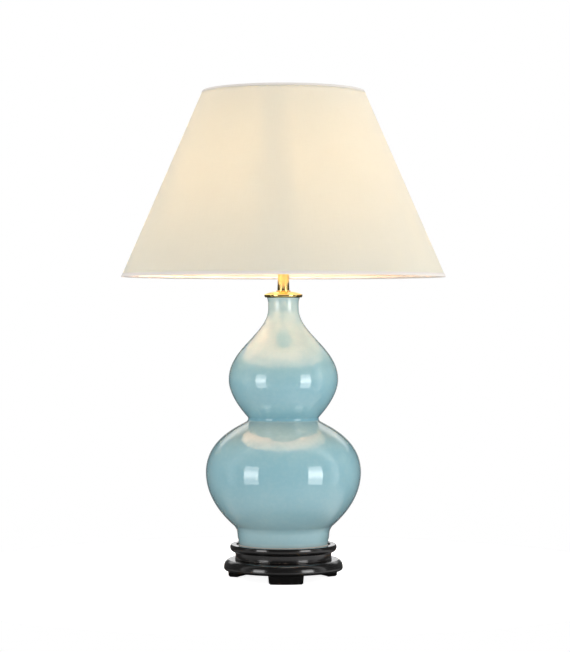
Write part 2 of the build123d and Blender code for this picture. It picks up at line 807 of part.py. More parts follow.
# Glass envelope, open at its neck
with BuildPart() as bulb_glass:
    with BuildSketch(Plane.XZ):
        with BuildLine():
            inner_r = bulb_r - bulb_wall
            inner_neck_r = bulb_neck_r - bulb_wall
            Bezier(
                (bulb_neck_r, glass_base),
                (bulb_neck_r, glass_base + bulb_neck_pull),
                (bulb_r, bulb_centre - bulb_belly_pull),
                (bulb_r, bulb_centre),
            )
            CenterArc((0, bulb_centre), bulb_r, 0, 90)
            Line((0, bulb_top), (0, bulb_top - bulb_wall))
            CenterArc((0, bulb_centre), inner_r, 0, 90)
            Bezier(
                (inner_r, bulb_centre),
                (inner_r, bulb_centre - bulb_belly_pull),
                (inner_neck_r, glass_base + bulb_neck_pull),
                (inner_neck_r, glass_base),
            )
            Line((inner_neck_r, glass_base), (bulb_neck_r, glass_base))
        make_face()
    revolve(axis=Axis.Z)
bulb_glass.part.label = "bulb_glass"
export_step(bulb_glass.part, "parts/bulb_glass.step")

with BuildPart() as bulb_cap:
    with BuildSketch(Plane.XY.offset(bulb_cap_base)):
        annulus(bulb_cap_r, bulb_cap_r - bulb_cap_sheet)
    extrude(amount=bulb_cap_length)
bulb_cap.part.label = "bulb_cap"
export_step(bulb_cap.part, "parts/bulb_cap.step")

with BuildPart() as bulb_insulator:
    with BuildSketch(Plane.XZ):
        with BuildLine():
            Polyline(
                (0, contact_top + tip_height),
                (insulator_r, contact_top + tip_height),
                (bulb_cap_r, bulb_cap_base),
                (0, bulb_cap_base),
                close=True,
            )
        make_face()
    revolve(axis=Axis.Z)
bulb_insulator.part.label = "bulb_insulator"
export_step(bulb_insulator.part, "parts/bulb_insulator.step")

with BuildPart() as bulb_tip:
    with BuildSketch(Plane.XY.offset(contact_top)):
        Circle(tip_r)
    extrude(amount=tip_height)
bulb_tip.part.label = "bulb_tip"
export_step(bulb_tip.part, "parts/bulb_tip.step")

with BuildPart() as bulb_stem:
    with BuildSketch(Plane.XY.offset(bulb_cap_base)):
        Circle(stem_press_r)
    extrude(amount=stem_press_length)
bulb_stem.part.label = "bulb_stem"
export_step(bulb_stem.part, "parts/bulb_stem.step")

with BuildPart() as bulb_filament:
    with BuildSketch(Plane.XY.offset(filament_base)):
        Circle(filament_r)
    extrude(amount=filament_length)
bulb_filament.part.label = "bulb_filament"
export_step(bulb_filament.part, "parts/bulb_filament.step")

# --------------------------------------------------------------------- shade carrier

with BuildPart() as carrier_base_ring:
    with BuildSketch(Plane.XY.offset(flange_top)):
        annulus(carrier_base_r, carrier_bore_r)
    extrude(amount=carrier_sheet)
carrier_base_ring.part.label = "carrier_base_ring"
export_step(carrier_base_ring.part, "parts/carrier_base_ring.step")

# Three arms that spread past the bulb and rise to the top ring
carrier_arms = bent_wires(
    [
        (carrier_foot_r, clamp_ring_base),
        (carrier_foot_r, clamp_ring_base + carrier_knee),
        (carrier_arm_circle_r, clamp_ring_base + carrier_knee + carrier_spread),
        (carrier_arm_circle_r, carrier_seat - carrier_ring_sheet),
    ],
    carrier_bend_r,
    carrier_arm_r,
    carrier_turn,
)
carrier_arms.label = "carrier_arms"
export_step(carrier_arms, "parts/carrier_arms.step")

# Top ring: a flat seat with a lip that centres the shade
with BuildPart() as carrier_top_ring:
    with BuildSketch(Plane.XY.offset(carrier_seat - carrier_ring_sheet)):
        annulus(carrier_ring_r, carrier_ring_bore_r)
    extrude(amount=carrier_ring_sheet)
    with BuildSketch(Plane.XY.offset(carrier_seat)):
        annulus(carrier_ring_bore_r + carrier_lip_sheet, carrier_ring_bore_r)
    extrude(amount=carrier_lip)
carrier_top_ring.part.label = "carrier_top_ring"
export_step(carrier_top_ring.part, "parts/carrier_top_ring.step")

# Fluted ring that screws down on the carrier
with BuildPart() as clamp_ring:
    with BuildSketch(Plane.XY.offset(clamp_ring_base)):
        annulus(clamp_ring_r, carrier_bore_r)
        with PolarLocations(clamp_ring_r, clamp_flutes):
            Circle(clamp_flute_r, mode=Mode.SUBTRACT)
    extrude(amount=clamp_ring_height)
clamp_ring.part.label = "clamp_ring"
export_step(clamp_ring.part, "parts/clamp_ring.step")

# ----------------------------------------------------------------------------- shade

with BuildPart() as fitter_ring:
    with BuildSketch(Plane.XY.offset(carrier_seat)):
        annulus(fitter_bore_r + fitter_ring_width, fitter_bore_r)
    extrude(amount=fitter_ring_sheet)
fitter_ring.part.label = "fitter_ring"
export_step(fitter_ring.part, "parts/fitter_ring.step")

# Wire rings inside the shade's edges
with BuildPart() as shade_top_wire:
    with BuildSketch(Plane.XZ):
        with Locations((shade_wire_circle_r(top_wire), top_wire)):
            Circle(shade_wire_r)
    revolve(axis=Axis.Z)
shade_top_wire.part.label = "shade_top_wire"
export_step(shade_top_wire.part, "parts/shade_top_wire.step")

with BuildPart() as shade_bottom_wire:
    with BuildSketch(Plane.XZ):
        with Locations((shade_wire_circle_r(bottom_wire), bottom_wire)):
            Circle(shade_wire_r)
    revolve(axis=Axis.Z)
shade_bottom_wire.part.label = "shade_bottom_wire"
export_step(shade_bottom_wire.part, "parts/shade_bottom_wire.step")

# Arms from the fitter ring up to the top wire, saddled to fit against it
arm_level = carrier_seat + fitter_ring_sheet + fitter_arm_r
with BuildPart() as fitter_arms:
    add(
        bent_wires(
            [
                (fitter_bore_r + fitter_arm_r, arm_level),
                (fitter_bore_r + fitter_flat, arm_level),
                (shade_wire_circle_r(top_wire), top_wire),
            ],
            fitter_bend_r,
            fitter_arm_r,
            fitter_turn,
        )
    )
    add(shade_top_wire.part, mode=Mode.SUBTRACT)
fitter_arms.part.label = "fitter_arms"
export_step(fitter_arms.part, "parts/fitter_arms.step")

with BuildPart() as shade_fabric:
    with BuildSketch(Plane.XZ):
        with BuildLine():
            shade_layer(0, shade_fabric_sheet, shade_base, shade_top)
        make_face()
    revolve(axis=Axis.Z)
shade_fabric.part.label = "shade_fabric"
export_step(shade_fabric.part, "parts/shade_fabric.step")

with BuildPart() as shade_lining:
    with BuildSketch(Plane.XZ):
        with BuildLine():
            shade_layer(shade_fabric_sheet, shade_skin, shade_base, shade_top)
        make_face()
    revolve(axis=Axis.Z)
shade_lining.part.label = "shade_lining"
export_step(shade_lining.part, "parts/shade_lining.step")

# Tape over the seam, down the back
with BuildPart() as shade_seam:
    with BuildSketch(Plane.XZ):
        with BuildLine():
            shade_layer(-trim_sheet, 0, shade_base + bottom_trim_height, shade_top - top_trim_height)
        make_face()
    revolve(axis=Axis.Z)
    with BuildSketch(Plane.XY.offset(shade_base)):
        with Locations((0, shade_bottom_r)):
            Rectangle(seam_width, 2 * shade_bottom_r)
    extrude(amount=shade_height, mode=Mode.INTERSECT)
shade_seam.part.label = "shade_seam"
export_step(shade_seam.part, "parts/shade_seam.step")

# Edge trims: a narrow band outside that turns over the edge
with BuildPart() as top_trim:
    with BuildSketch(Plane.XZ):
        with BuildLine():
            shade_layer(-trim_sheet, 0, shade_top - top_trim_height, shade_top)
        make_face()
    revolve(axis=Axis.Z)
    with BuildSketch(Plane.XY.offset(shade_top)):
        annulus(shade_top_r + trim_sheet * slant_factor, shade_top_r - shade_skin * slant_factor)
    extrude(amount=trim_sheet)
top_trim.part.label = "top_trim"
export_step(top_trim.part, "parts/top_trim.step")

with BuildPart() as bottom_trim:
    with BuildSketch(Plane.XZ):
        with BuildLine():
            shade_layer(-trim_sheet, 0, shade_base, shade_base + bottom_trim_height)
        make_face()
    revolve(axis=Axis.Z)
    with BuildSketch(Plane.XY.offset(shade_base)):
        annulus(shade_bottom_r + trim_sheet * slant_factor, shade_bottom_r - shade_skin * slant_factor)
    extrude(amount=-trim_sheet)
bottom_trim.part.label = "bottom_trim"
export_step(bottom_trim.part, "parts/bottom_trim.step")
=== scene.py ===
"""Add-on that finishes a table lamp: a glazed double gourd vase on a black wooden stand,
with brass fittings, a lit bulb, a wire shade carrier and a lined empire shade.

Metres, +Z up, the lamp's front faces -Y. Angles round the lamp are counted from the front.
"""

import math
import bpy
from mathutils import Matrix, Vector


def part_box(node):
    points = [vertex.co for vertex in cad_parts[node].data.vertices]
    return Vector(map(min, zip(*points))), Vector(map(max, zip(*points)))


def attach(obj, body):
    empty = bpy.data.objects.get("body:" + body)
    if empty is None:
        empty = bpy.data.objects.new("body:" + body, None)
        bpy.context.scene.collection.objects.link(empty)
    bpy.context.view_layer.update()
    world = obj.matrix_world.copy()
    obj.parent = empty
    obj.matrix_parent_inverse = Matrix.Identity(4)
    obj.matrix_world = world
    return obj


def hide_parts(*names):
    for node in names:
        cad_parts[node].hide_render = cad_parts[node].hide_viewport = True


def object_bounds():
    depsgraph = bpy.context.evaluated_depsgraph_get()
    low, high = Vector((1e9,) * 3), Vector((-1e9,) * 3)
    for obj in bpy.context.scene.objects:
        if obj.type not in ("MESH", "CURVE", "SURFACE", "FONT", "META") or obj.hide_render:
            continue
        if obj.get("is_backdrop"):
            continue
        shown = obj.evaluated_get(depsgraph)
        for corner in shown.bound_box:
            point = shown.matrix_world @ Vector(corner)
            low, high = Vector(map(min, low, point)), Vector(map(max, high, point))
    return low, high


bl_info = {
    "name": "Double gourd lamp",
    "version": (1, 0, 0),
    "blender": (4, 5, 0),
    "location": "View3D > Sidebar > Gourd lamp",
    "description": "Builds the vase, stand, brasswork, bulb, carrier and shade of a table lamp",
    "category": "Add Mesh",
}

import bpy
from mathutils import Matrix, Vector

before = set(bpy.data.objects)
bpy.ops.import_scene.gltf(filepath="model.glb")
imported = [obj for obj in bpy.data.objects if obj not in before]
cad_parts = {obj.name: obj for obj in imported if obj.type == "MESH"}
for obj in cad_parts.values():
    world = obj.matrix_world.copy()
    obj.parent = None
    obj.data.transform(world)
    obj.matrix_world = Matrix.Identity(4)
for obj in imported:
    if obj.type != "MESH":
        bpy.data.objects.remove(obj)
CAD_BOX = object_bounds()

MM = 0.001
TURN = 2 * math.pi
ROUND_STEPS = 192        # faces round a large turned piece
SMALL_STEPS = 128        # faces round a small turned piece
SCREW_STEPS = 24         # faces round a wood screw
SHARP_ANGLE = math.radians(38)
GLOW_LOW, GLOW_HIGH = 0.560, 0.612   # heights between which the bulb's glass grows brighter


# ------------------------------------------------------------------------- measures


def reach(node):
    """Outer radius of a turned CAD node, and the heights of its foot and top."""
    low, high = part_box(node)
    return high.x, low.z, high.z


def length(name, description, default):
    return bpy.props.FloatProperty(
        name=name, description=description, default=default, min=0.0, precision=4, unit="LENGTH"
    )


def tint(name, description, default):
    return bpy.props.FloatVectorProperty(
        name=name, description=description, default=default, size=3, min=0.0, max=1.0, subtype="COLOR"
    )


def display(red, green, blue):
    """Linear colour of a display colour whose parts run from 0 to 255."""
    parts = (value / 255 for value in (red, green, blue))
    return tuple(p / 12.92 if p <= 0.04045 else ((p + 0.055) / 1.055) ** 2.4 for p in parts)


vase_r, vase_base, vase_rim = reach("gourd_vase")
apron_r, foot_base, apron_top = reach("stand_apron")
plate_r, waist_top, plate_top = reach("stand_plate")
cap_r, cap_base, cap_top = reach("neck_cap")
fabric_r, shade_base, shade_top = reach("shade_fabric")


class VaseSizes(bpy.types.PropertyGroup):
    foot_r: length("Foot radius", "Radius of the vase's foot where it stands", 70 * MM)
    foot_top_r: length("Foot top radius", "Radius where the foot meets the lower bulb", 73.4 * MM)
    foot_height: length("Foot height", "Height of the plain foot", 27 * MM)
    foot_round: length("Foot round", "Reach of the soft bend above the foot", 6 * MM)
    lower_rise: length("Lower belly rise", "From the foot's top to the widest level", 87.5 * MM)
    shoulder_rise: length("Lower shoulder rise", "From the widest level to the crease", 83 * MM)
    crease_r: length("Crease radius", "Radius where the two bulbs' sides would meet", 53.5 * MM)
    crease_round: length("Crease round", "Reach of the soft bend in the crease", 4.5 * MM)
    upper_r: length("Upper bulb radius", "Radius of the upper bulb", 86.1 * MM)
    upper_rise: length("Upper belly rise", "From the crease to the upper bulb's widest level", 62.5 * MM)
    neck_rise: length("Neck rise", "From the upper bulb's widest level to the neck", 111 * MM)
    neck_r: length("Neck radius", "Outer radius of the neck", 24 * MM)
    neck_lip: length("Rim spread", "How far the rim spreads past the neck", 1.8 * MM)
    neck_lip_height: length("Rim height", "Height over which the rim spreads", 10 * MM)
    wall: length("Wall", "Thickness of the ceramic wall", 5 * MM)
    crease_wall: length("Crease wall", "Thickness of the wall at the crease", 8 * MM)
    floor: length("Floor", "Thickness of the floor", 8 * MM)
    ring_width: length("Foot ring width", "Width of the foot ring below", 9 * MM)
    ring_depth: length("Foot ring depth", "How far the floor is set up inside the foot", 4 * MM)
    hole_r: length("Hole radius", "Radius of the hole in the floor", 8 * MM)
    bare_band: length("Bare band", "Height of the unglazed band at the foot", 2.3 * MM)


class StandSizes(bpy.types.PropertyGroup):
    foot_turn: bpy.props.FloatProperty(
        name="Foot turn", description="Angle of the front foot from the front",
        default=math.radians(3), subtype="ANGLE",
    )
    foot_width: length("Foot width", "Width of each foot", 54.4 * MM)
    foot_outer_r: length("Foot outer radius", "Radius of the feet's outer faces", 89 * MM)
    foot_height: length("Foot height", "Height of the feet below the apron", 12.3 * MM)
    foot_corner: length("Foot corner", "Radius of the feet's upright corners", 2 * MM)
    apron_bore: length("Apron bore", "Radius of the apron's inside", 70 * MM)
    ledge_bore: length("Ledge bore", "Radius of the opening in the ledge", 58 * MM)
    ledge: length("Ledge", "Thickness of the ledge that the waist stands on", 8 * MM)
    apron_foot_r: length("Apron foot radius", "Radius of the apron's lower edge", 89 * MM)
    apron_rise: length("Belly rise", "Height of the apron's widest level", 4.2 * MM)
    apron_top_r: length("Apron top radius", "Radius of the apron's upper edge", 86.8 * MM)
    apron_brow: length("Brow", "Drop of the shoulder's curve below the upper edge", 3.2 * MM)
    waist_r: length("Waist radius", "Radius of the turned waist", 75.4 * MM)
    bead_height: length("Bead height", "Height of the bead at the foot of the waist", 3 * MM)
    waist_flare: length("Waist flare", "How far the waist spreads under the plate", 0.5 * MM)
    plate_skirt: length("Plate skirt", "How far the plate's moulding reaches down round the waist", 3 * MM)
    plate_level: length("Plate level", "Depth of the plate's widest level below its top", 4.5 * MM)
    plate_slope: length("Plate slope", "How far the plate's edge leans in at its top", 1.3 * MM)
    recess_r: length("Recess radius", "Radius of the recess in the plate", 74 * MM)
    recess_depth: length("Recess depth", "Depth of the recess in the plate", 2.5 * MM)
    rod_hole_r: length("Rod hole", "Radius of the hole for the rod", 5.4 * MM)


class ShadeSizes(bpy.types.PropertyGroup):
    top_r: length("Top radius", "Radius of the shade's upper edge", 127 * MM)
    bottom_r: length("Bottom radius", "Radius of the shade's lower edge", fabric_r)
    fabric: length("Fabric", "Thickness of the outer fabric", 0.6 * MM)
    lining: length("Lining", "Thickness of the lining", 0.4 * MM)
    trim: length("Trim", "Thickness of the edge trims", 0.4 * MM)
    top_trim: length("Top trim height", "Height of the upper trim", 3 * MM)
    bottom_trim: length("Bottom trim height", "Height of the lower trim", 4.5 * MM)
    wire_r: length("Wire radius", "Radius of the wire rings in the edges", 1.75 * MM)
    wire_inset: length("Wire inset", "How far the rings lie inside the edges", 1 * MM)
    seam_width: length("Seam width", "Width of the seam tape at the back", 10 * MM)


class WireSizes(bpy.types.PropertyGroup):
    wire_r: length("Wire radius", "Radius of the carrier's and fitter's wires", 1.5 * MM)
    foot_r: length("Arm foot radius", "Circle on which the carrier's arms stand", 29.2 * MM)
    arm_r: length("Arm circle radius", "Circle on which the arms rise past the bulb", 47.5 * MM)
    knee: length("Knee", "Straight stretch above the carrier's foot", 8 * MM)
    spread: length("Spread", "Height over which the arms spread", 34 * MM)
    arm_bend: length("Arm bend", "Bend radius of the carrier's arms", 14 * MM)
    fitter_flat: length("Fitter flat", "Level stretch of a fitter arm across its ring", 12 * MM)
    fitter_bend: length("Fitter bend", "Bend radius of the fitter's arms", 10 * MM)
    carrier_turn: bpy.props.FloatProperty(
        name="Carrier turn", description="Angle of the first carrier arm from the front",
        default=math.radians(-21), subtype="ANGLE",
    )
    arms: bpy.props.IntProperty(name="Arms", description="Number of arms", default=3, min=2)


class LampColours(bpy.types.PropertyGroup):
    glaze: tint("Glaze", "The glaze over most of the vase", display(142, 184, 194))
    glaze_deep: tint("Deep glaze", "The glaze where it has pooled", display(120, 171, 186))
    # lighter glaze colour: thin glaze on the rim and foot, and painted light on the neck, foot and lower belly
    glaze_thin_and_painted_light: tint("Thin glaze", "The glaze where it runs thin on an edge", display(184, 208, 208))
    # painted warm light: a warmer, greyer glaze colour just below the crease, where the lit shade's glow falls
    shoulder_painted_warm_light: tint("Shoulder glaze", "The glaze just below the crease", display(155, 176, 172))
    clay: tint("Clay", "The bare clay of the foot ring", display(214, 205, 196))
    lacquer: tint("Lacquer", "The black lacquer of the stand", display(10, 9, 9))
    wear: tint("Worn wood", "The brown wood where the lacquer is rubbed", display(86, 74, 64))
    brass: tint("Brass", "The polished brass", display(242, 218, 146))
    fabric: tint("Shade fabric", "The outer cloth of the shade", display(223, 221, 212))
    lining: tint("Shade lining", "The white inside of the shade", display(247, 243, 232))
    trim: tint("Trim", "The narrow edge trims", display(222, 217, 211))
    glow: tint("Bulb light", "The colour of the bulb's light", (1.0, 0.54, 0.35))


# -------------------------------------------------------------------------- outlines


def curve(start, pull_start, pull_end, end, steps=24):
    """Points along a cubic curve between two (radius, height) points."""
    points = []
    for step in range(steps + 1):
        t = step / steps
        weights = ((1 - t) ** 3, 3 * t * (1 - t) ** 2, 3 * t * t * (1 - t), t**3)
        knots = (start, pull_start, pull_end, end)
        points.append(tuple(sum(w * k[axis] for w, k in zip(weights, knots)) for axis in (0, 1)))
    return points


def arc(centre, radius, first, last, steps=12):
    """Points along an arc, with angles in degrees from the outward direction."""
    angles = (math.radians(first + (last - first) * step / steps) for step in range(steps + 1))
    return [(centre[0] + radius * math.cos(a), centre[1] + radius * math.sin(a)) for a in angles]


def bow(start, end, bulge):
    """Curve with both handles at one point, as a quadratic curve has."""
    def near(point):
        return tuple(point[axis] + (bulge[axis] - point[axis]) * 2 / 3 for axis in (0, 1))

    return curve(start, near(start), near(end), end)


def joined(*runs):
    """One outline from several runs of points, with repeated points left out."""
    outline = []
    for point in (p for run in runs for p in run):
        if not outline or math.dist(point, outline[-1]) > 1e-7:
            outline.append(point)
    if math.dist(outline[0], outline[-1]) <= 1e-7:
        outline.pop()
    return outline


def softened(outline, radius, least_turn=20, steps=4):
    """A closed outline with its corners rounded by small curves."""
    rounded = []
    count = len(outline)
    for index, corner in enumerate(outline):
        before, after = Vector(outline[index - 1]), Vector(outline[(index + 1) % count])
        here = Vector(corner)
        turn = (here - before).angle(after - here, 0.0)
        if math.degrees(turn) < least_turn or here.x < 1e-6:
            rounded.append(corner)
            continue
        cut = min(radius * math.tan(turn / 2), 0.45 * (here - before).length, 0.45 * (after - here).length)
        start = here + (before - here).normalized() * cut
        end = here + (after - here).normalized() * cut
        for step in range(steps + 1):
            t = step / steps
            rounded.append(tuple(start * (1 - t) ** 2 + here * 2 * t * (1 - t) + end * t * t))
    return rounded


# ---------------------------------------------------------------------- mesh helpers


def new_object(name, mesh):
    piece = bpy.data.objects.new(name, mesh)
    bpy.context.scene.collection.objects.link(piece)
    return piece


def smooth(piece):
    piece.data.shade_smooth()
    piece.data.set_sharp_from_angle(angle=SHARP_ANGLE)
    return piece


def turned(name, outline, materials, steps=ROUND_STEPS, material_at=None, ripple=None):
    """A piece turned on a lathe from a closed outline of (radius, height) points.

    material_at picks a material from the middle of a face. ripple moves the surface in or out
    by an amount that depends on the angle and the point, as for a thread or flutes.
    """
    area = sum(a[0] * b[1] - b[0] * a[1] for a, b in zip(outline, outline[1:] + outline[:1]))
    if area < 0:
        outline = outline[::-1]
    vertices, rings = [], []
    for radius, height in outline:
        if radius < 1e-7:
            rings.append([len(vertices)] * steps)
            vertices.append((0.0, 0.0, height))
            continue
        rings.append(list(range(len(vertices), len(vertices) + steps)))
        for step in range(steps):
            angle = TURN * step / steps
            r = radius + (ripple(angle, radius, height) if ripple else 0.0)
            vertices.append((r * math.cos(angle), r * math.sin(angle), height))
    faces, marks, runs = [], [], []
    along = 0.0
    for index, point in enumerate(outline):
        following = (index + 1) % len(outline)
        span = math.dist(point, outline[following])
        middle = tuple((a + b) / 2 for a, b in zip(point, outline[following]))
        if max(point[0], outline[following][0]) > 1e-7:
            for step in range(steps):
                beside = (step + 1) % steps
                lower, upper = rings[index], rings[following]
                corners = (lower[step], lower[beside], upper[beside], upper[step])
                faces.append(tuple(dict.fromkeys(corners)))
                marks.append(material_at(*middle) if material_at else 0)
                runs.append((step, along, along + span, point[0] < 1e-7, outline[following][0] < 1e-7))
        along += span
    mesh = bpy.data.meshes.new(name)
    mesh.from_pydata(vertices, [], faces)
    mesh.polygons.foreach_set("material_index", marks)
    widest = max(point[0] for point in outline)
    layer = mesh.uv_layers.new(name="UVMap")
    for polygon, (step, low, high, pole_below, pole_above) in zip(mesh.polygons, runs):
        left, right = (widest * TURN * edge / steps for edge in (step, step + 1))
        corners = [(left, low), (right, low), (right, high), (left, high)]
        if pole_below:
            corners.pop(1)
        if pole_above:
            corners.pop(2)
        for loop, corner in zip(polygon.loop_indices, corners):
            layer.data[loop].uv = corner
    for material in materials:
        mesh.materials.append(material)
    mesh.validate()
    return smooth(new_object(name, mesh))


def welded(name, pieces):
    """Several pieces as one object, with their materials and places kept."""
    for piece in bpy.context.selected_objects:
        piece.select_set(False)
    for piece in pieces:
        piece.select_set(True)
    bpy.context.view_layer.objects.active = pieces[0]
    bpy.ops.object.join()
    joined_piece = bpy.context.view_layer.objects.active
    joined_piece.name = joined_piece.data.name = name
    joined_piece.select_set(False)
    return joined_piece


def finished(piece, body, slot, *nodes):
    """Attach a finished piece to its body and hide the CAD nodes that it stands for; slot is not used."""
    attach(piece, body)
    if nodes:
        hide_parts(*nodes)
    return piece


# -------------------------------------------------------------------- node tree tools


class Graph:
    """Adds nodes to a tree and wires their sockets by name."""

    def __init__(self, tree, family):
        self.tree = tree
        self.family = family

    def add(self, kind, inputs=None, **settings):
        known = kind.startswith(("ShaderNode", "GeometryNode", "FunctionNode", "Node"))
        node = self.tree.nodes.new(kind if known else self.family + kind)
        for setting, value in settings.items():
            setattr(node, setting, value)
        for socket, value in (inputs or {}).items():
            self.feed(node.inputs[socket], value)
        return node

    def feed(self, socket, value):
        if isinstance(value, bpy.types.NodeSocket):
            self.tree.links.new(value, socket)
        elif value is not None:
            if socket.type == "RGBA" and len(value) == 3:
                value = (*value, 1.0)
            socket.default_value = value

    def maths(self, operation, first, second=None, clamp=False):
        node = self.add("ShaderNodeMath", operation=operation, use_clamp=clamp)
        self.feed(node.inputs[0], first)
        if second is not None:
            self.feed(node.inputs[1], second)
        return node.outputs[0]

    def spread(self, value, low, high, to_low=0.0, to_high=1.0, smoothly=True):
        """A value moved from one range to another and kept inside it."""
        kind = "SMOOTHSTEP" if smoothly else "LINEAR"
        node = self.add(
            "ShaderNodeMapRange",
            {"Value": value, "From Min": low, "From Max": high, "To Min": to_low, "To Max": to_high},
            interpolation_type=kind,
        )
        return node.outputs["Result"]


class Finish(Graph):
    """A node material for one finish of the lamp."""

    def __init__(self, name):
        self.material = bpy.data.materials.new(name)
        self.material.use_nodes = True
        super().__init__(self.material.node_tree, "ShaderNode")
        self.tree.nodes.clear()
        self.output = self.add("OutputMaterial")
        self.position = self.add("TexCoord").outputs["Object"]
        apart = self.add("SeparateXYZ", {0: self.position})
        self.x, self.y, self.z = apart.outputs

    def stretched(self, scale, source=None):
        """Coordinates scaled by three factors."""
        node = self.add("VectorMath", operation="MULTIPLY")
        self.feed(node.inputs[0], source or self.position)
        node.inputs[1].default_value = scale
        return node.outputs[0]

    def noise(self, scale, detail=2.0, roughness=0.5, source=None):
        node = self.add(
            "TexNoise",
            {"Vector": source or self.position, "Scale": scale, "Detail": detail, "Roughness": roughness},
        )
        return node.outputs["Fac"]

    def blend(self, amount, first, second, mode="MIX"):
        node = self.add("Mix", data_type="RGBA", blend_type=mode)
        self.feed(node.inputs["Factor"], amount)
        colour_a, colour_b = node.inputs[6], node.inputs[7]
        self.feed(colour_a, first)
        self.feed(colour_b, second)
        return node.outputs[2]

    def bump(self, height, distance, strength=1.0, below=None):
        node = self.add("Bump", {"Height": height, "Distance": distance, "Strength": strength})
        if below is not None:
            self.feed(node.inputs["Normal"], below)
        return node.outputs["Normal"]

    def ring_angle(self):
        """Angle round the lamp's axis, from -pi to pi."""
        return self.maths("ARCTAN2", self.y, self.x)

    def axis_distance(self):
        """Distance from the lamp's axis."""
        x_squared, y_squared = (self.maths("MULTIPLY", part, part) for part in (self.x, self.y))
        return self.maths("SQRT", self.maths("ADD", x_squared, y_squared))

    def surface(self, **inputs):
        """Close the material with one principled shader; underscores stand for spaces."""
        named = {name.replace("_", " "): value for name, value in inputs.items()}
        shader = self.add("BsdfPrincipled", named)
        self.tree.links.new(shader.outputs[0], self.output.inputs["Surface"])
        return shader


def dress(material, *nodes):
    """Give CAD nodes that keep their shape a finish."""
    for node in nodes:
        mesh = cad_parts[node].data
        mesh.materials.clear()
        mesh.materials.append(material)


# ------------------------------------------------------------------------- finishes


def glaze_finish(colours, sizes):
    """Glossy pale blue glaze that pools in the crease and thins on the rim and at the foot, with painted light:
    lighter round the neck, on the foot and low on the belly, and warmer just below the crease.
    """
    f = Finish("pale_blue_glaze")
    cloud = f.noise(11.0, 3.0)
    mottle = f.noise(170.0, 3.0, 0.6)
    crease = vase_base + sizes.foot_height + sizes.lower_rise + sizes.shoulder_rise
    over = f.maths("SUBTRACT", f.z, crease)
    pooled = f.maths("MULTIPLY", f.spread(over, 0.0, 26 * MM, 1.0, 0.0), f.spread(over, -3 * MM, 0.0))
    below = f.spread(over, -3 * MM, 0.0, 0.75, 0.0)
    # painted warm light on the lower bulb's shoulder, fading out downwards below the crease
    shoulder = f.maths("MULTIPLY", f.spread(over, -45 * MM, -12 * MM), below)
    # painted light: the neck grows lighter towards its top, as the lit shade's glow makes it; the rim's top 6 mm
    # is thin glaze
    neck = f.spread(f.z, vase_rim - 34 * MM, vase_rim - 14 * MM, 0.0, 0.6)
    rim = f.maths("MAXIMUM", neck, f.spread(f.z, vase_rim - 6 * MM, vase_rim, 0.0, 0.9))
    # thin glaze at the foot, made stronger as painted light where the plate shades the foot
    foot = f.spread(f.z, vase_base + 4 * MM, vase_base + 12 * MM, 0.6, 0.0)
    # painted light: the lower belly and foot are lightened as light from the floor would light them
    painted_lower_belly_light = f.spread(f.z, vase_base + 26 * MM, vase_base + 75 * MM, 0.20, 0.0)
    drift = f.spread(cloud, 0.3, 0.7, 0.0, 0.35)
    body = f.blend(drift, colours.glaze, colours.glaze_deep)
    body = f.blend(pooled, body, colours.glaze_deep)
    body = f.blend(shoulder, body, colours.shoulder_painted_warm_light)
    # thin mixes the rim's thin glaze with painted light on the neck, foot and lower belly, laid on in the lighter
    # glaze colour
    thin = f.maths("MAXIMUM", rim, f.maths("MAXIMUM", foot, painted_lower_belly_light))
    body = f.blend(thin, body, colours.glaze_thin_and_painted_light)
    body = f.blend(f.spread(mottle, 0.35, 0.75, 0.0, 0.10), body, colours.glaze_thin_and_painted_light)
    cells = f.add("TexVoronoi", {"Vector": f.position, "Scale": 260.0}, feature="F1")
    chosen = f.maths("GREATER_THAN", f.add("SeparateColor", {0: cells.outputs["Color"]}).outputs[0], 0.97)
    speck = f.maths("MULTIPLY", f.spread(cells.outputs["Distance"], 0.05, 0.12, 0.35, 0.0), chosen)
    body = f.blend(speck, body, display(96, 120, 120))
    waves = f.bump(f.noise(24.0, 2.0), 0.5 * MM, 0.02)
    peel = f.bump(f.noise(420.0, 2.0), 0.02 * MM, 0.03, waves)
    f.surface(
        Base_Color=body, Roughness=f.spread(mottle, 0.2, 0.8, 0.01, 0.03), Normal=peel, IOR=1.55,
        Coat_Weight=1.0, Coat_Roughness=0.005, Coat_IOR=1.65,
    )
    return f.material


def clay_finish(colours):
    """Dry unglazed clay."""
    f = Finish("bare_clay")
    grain = f.noise(900.0, 4.0, 0.7)
    tone = f.blend(f.spread(grain, 0.3, 0.7), colours.clay, display(188, 172, 158))
    f.surface(Base_Color=tone, Roughness=0.85, Normal=f.bump(grain, 0.15 * MM, 0.5))
    return f.material


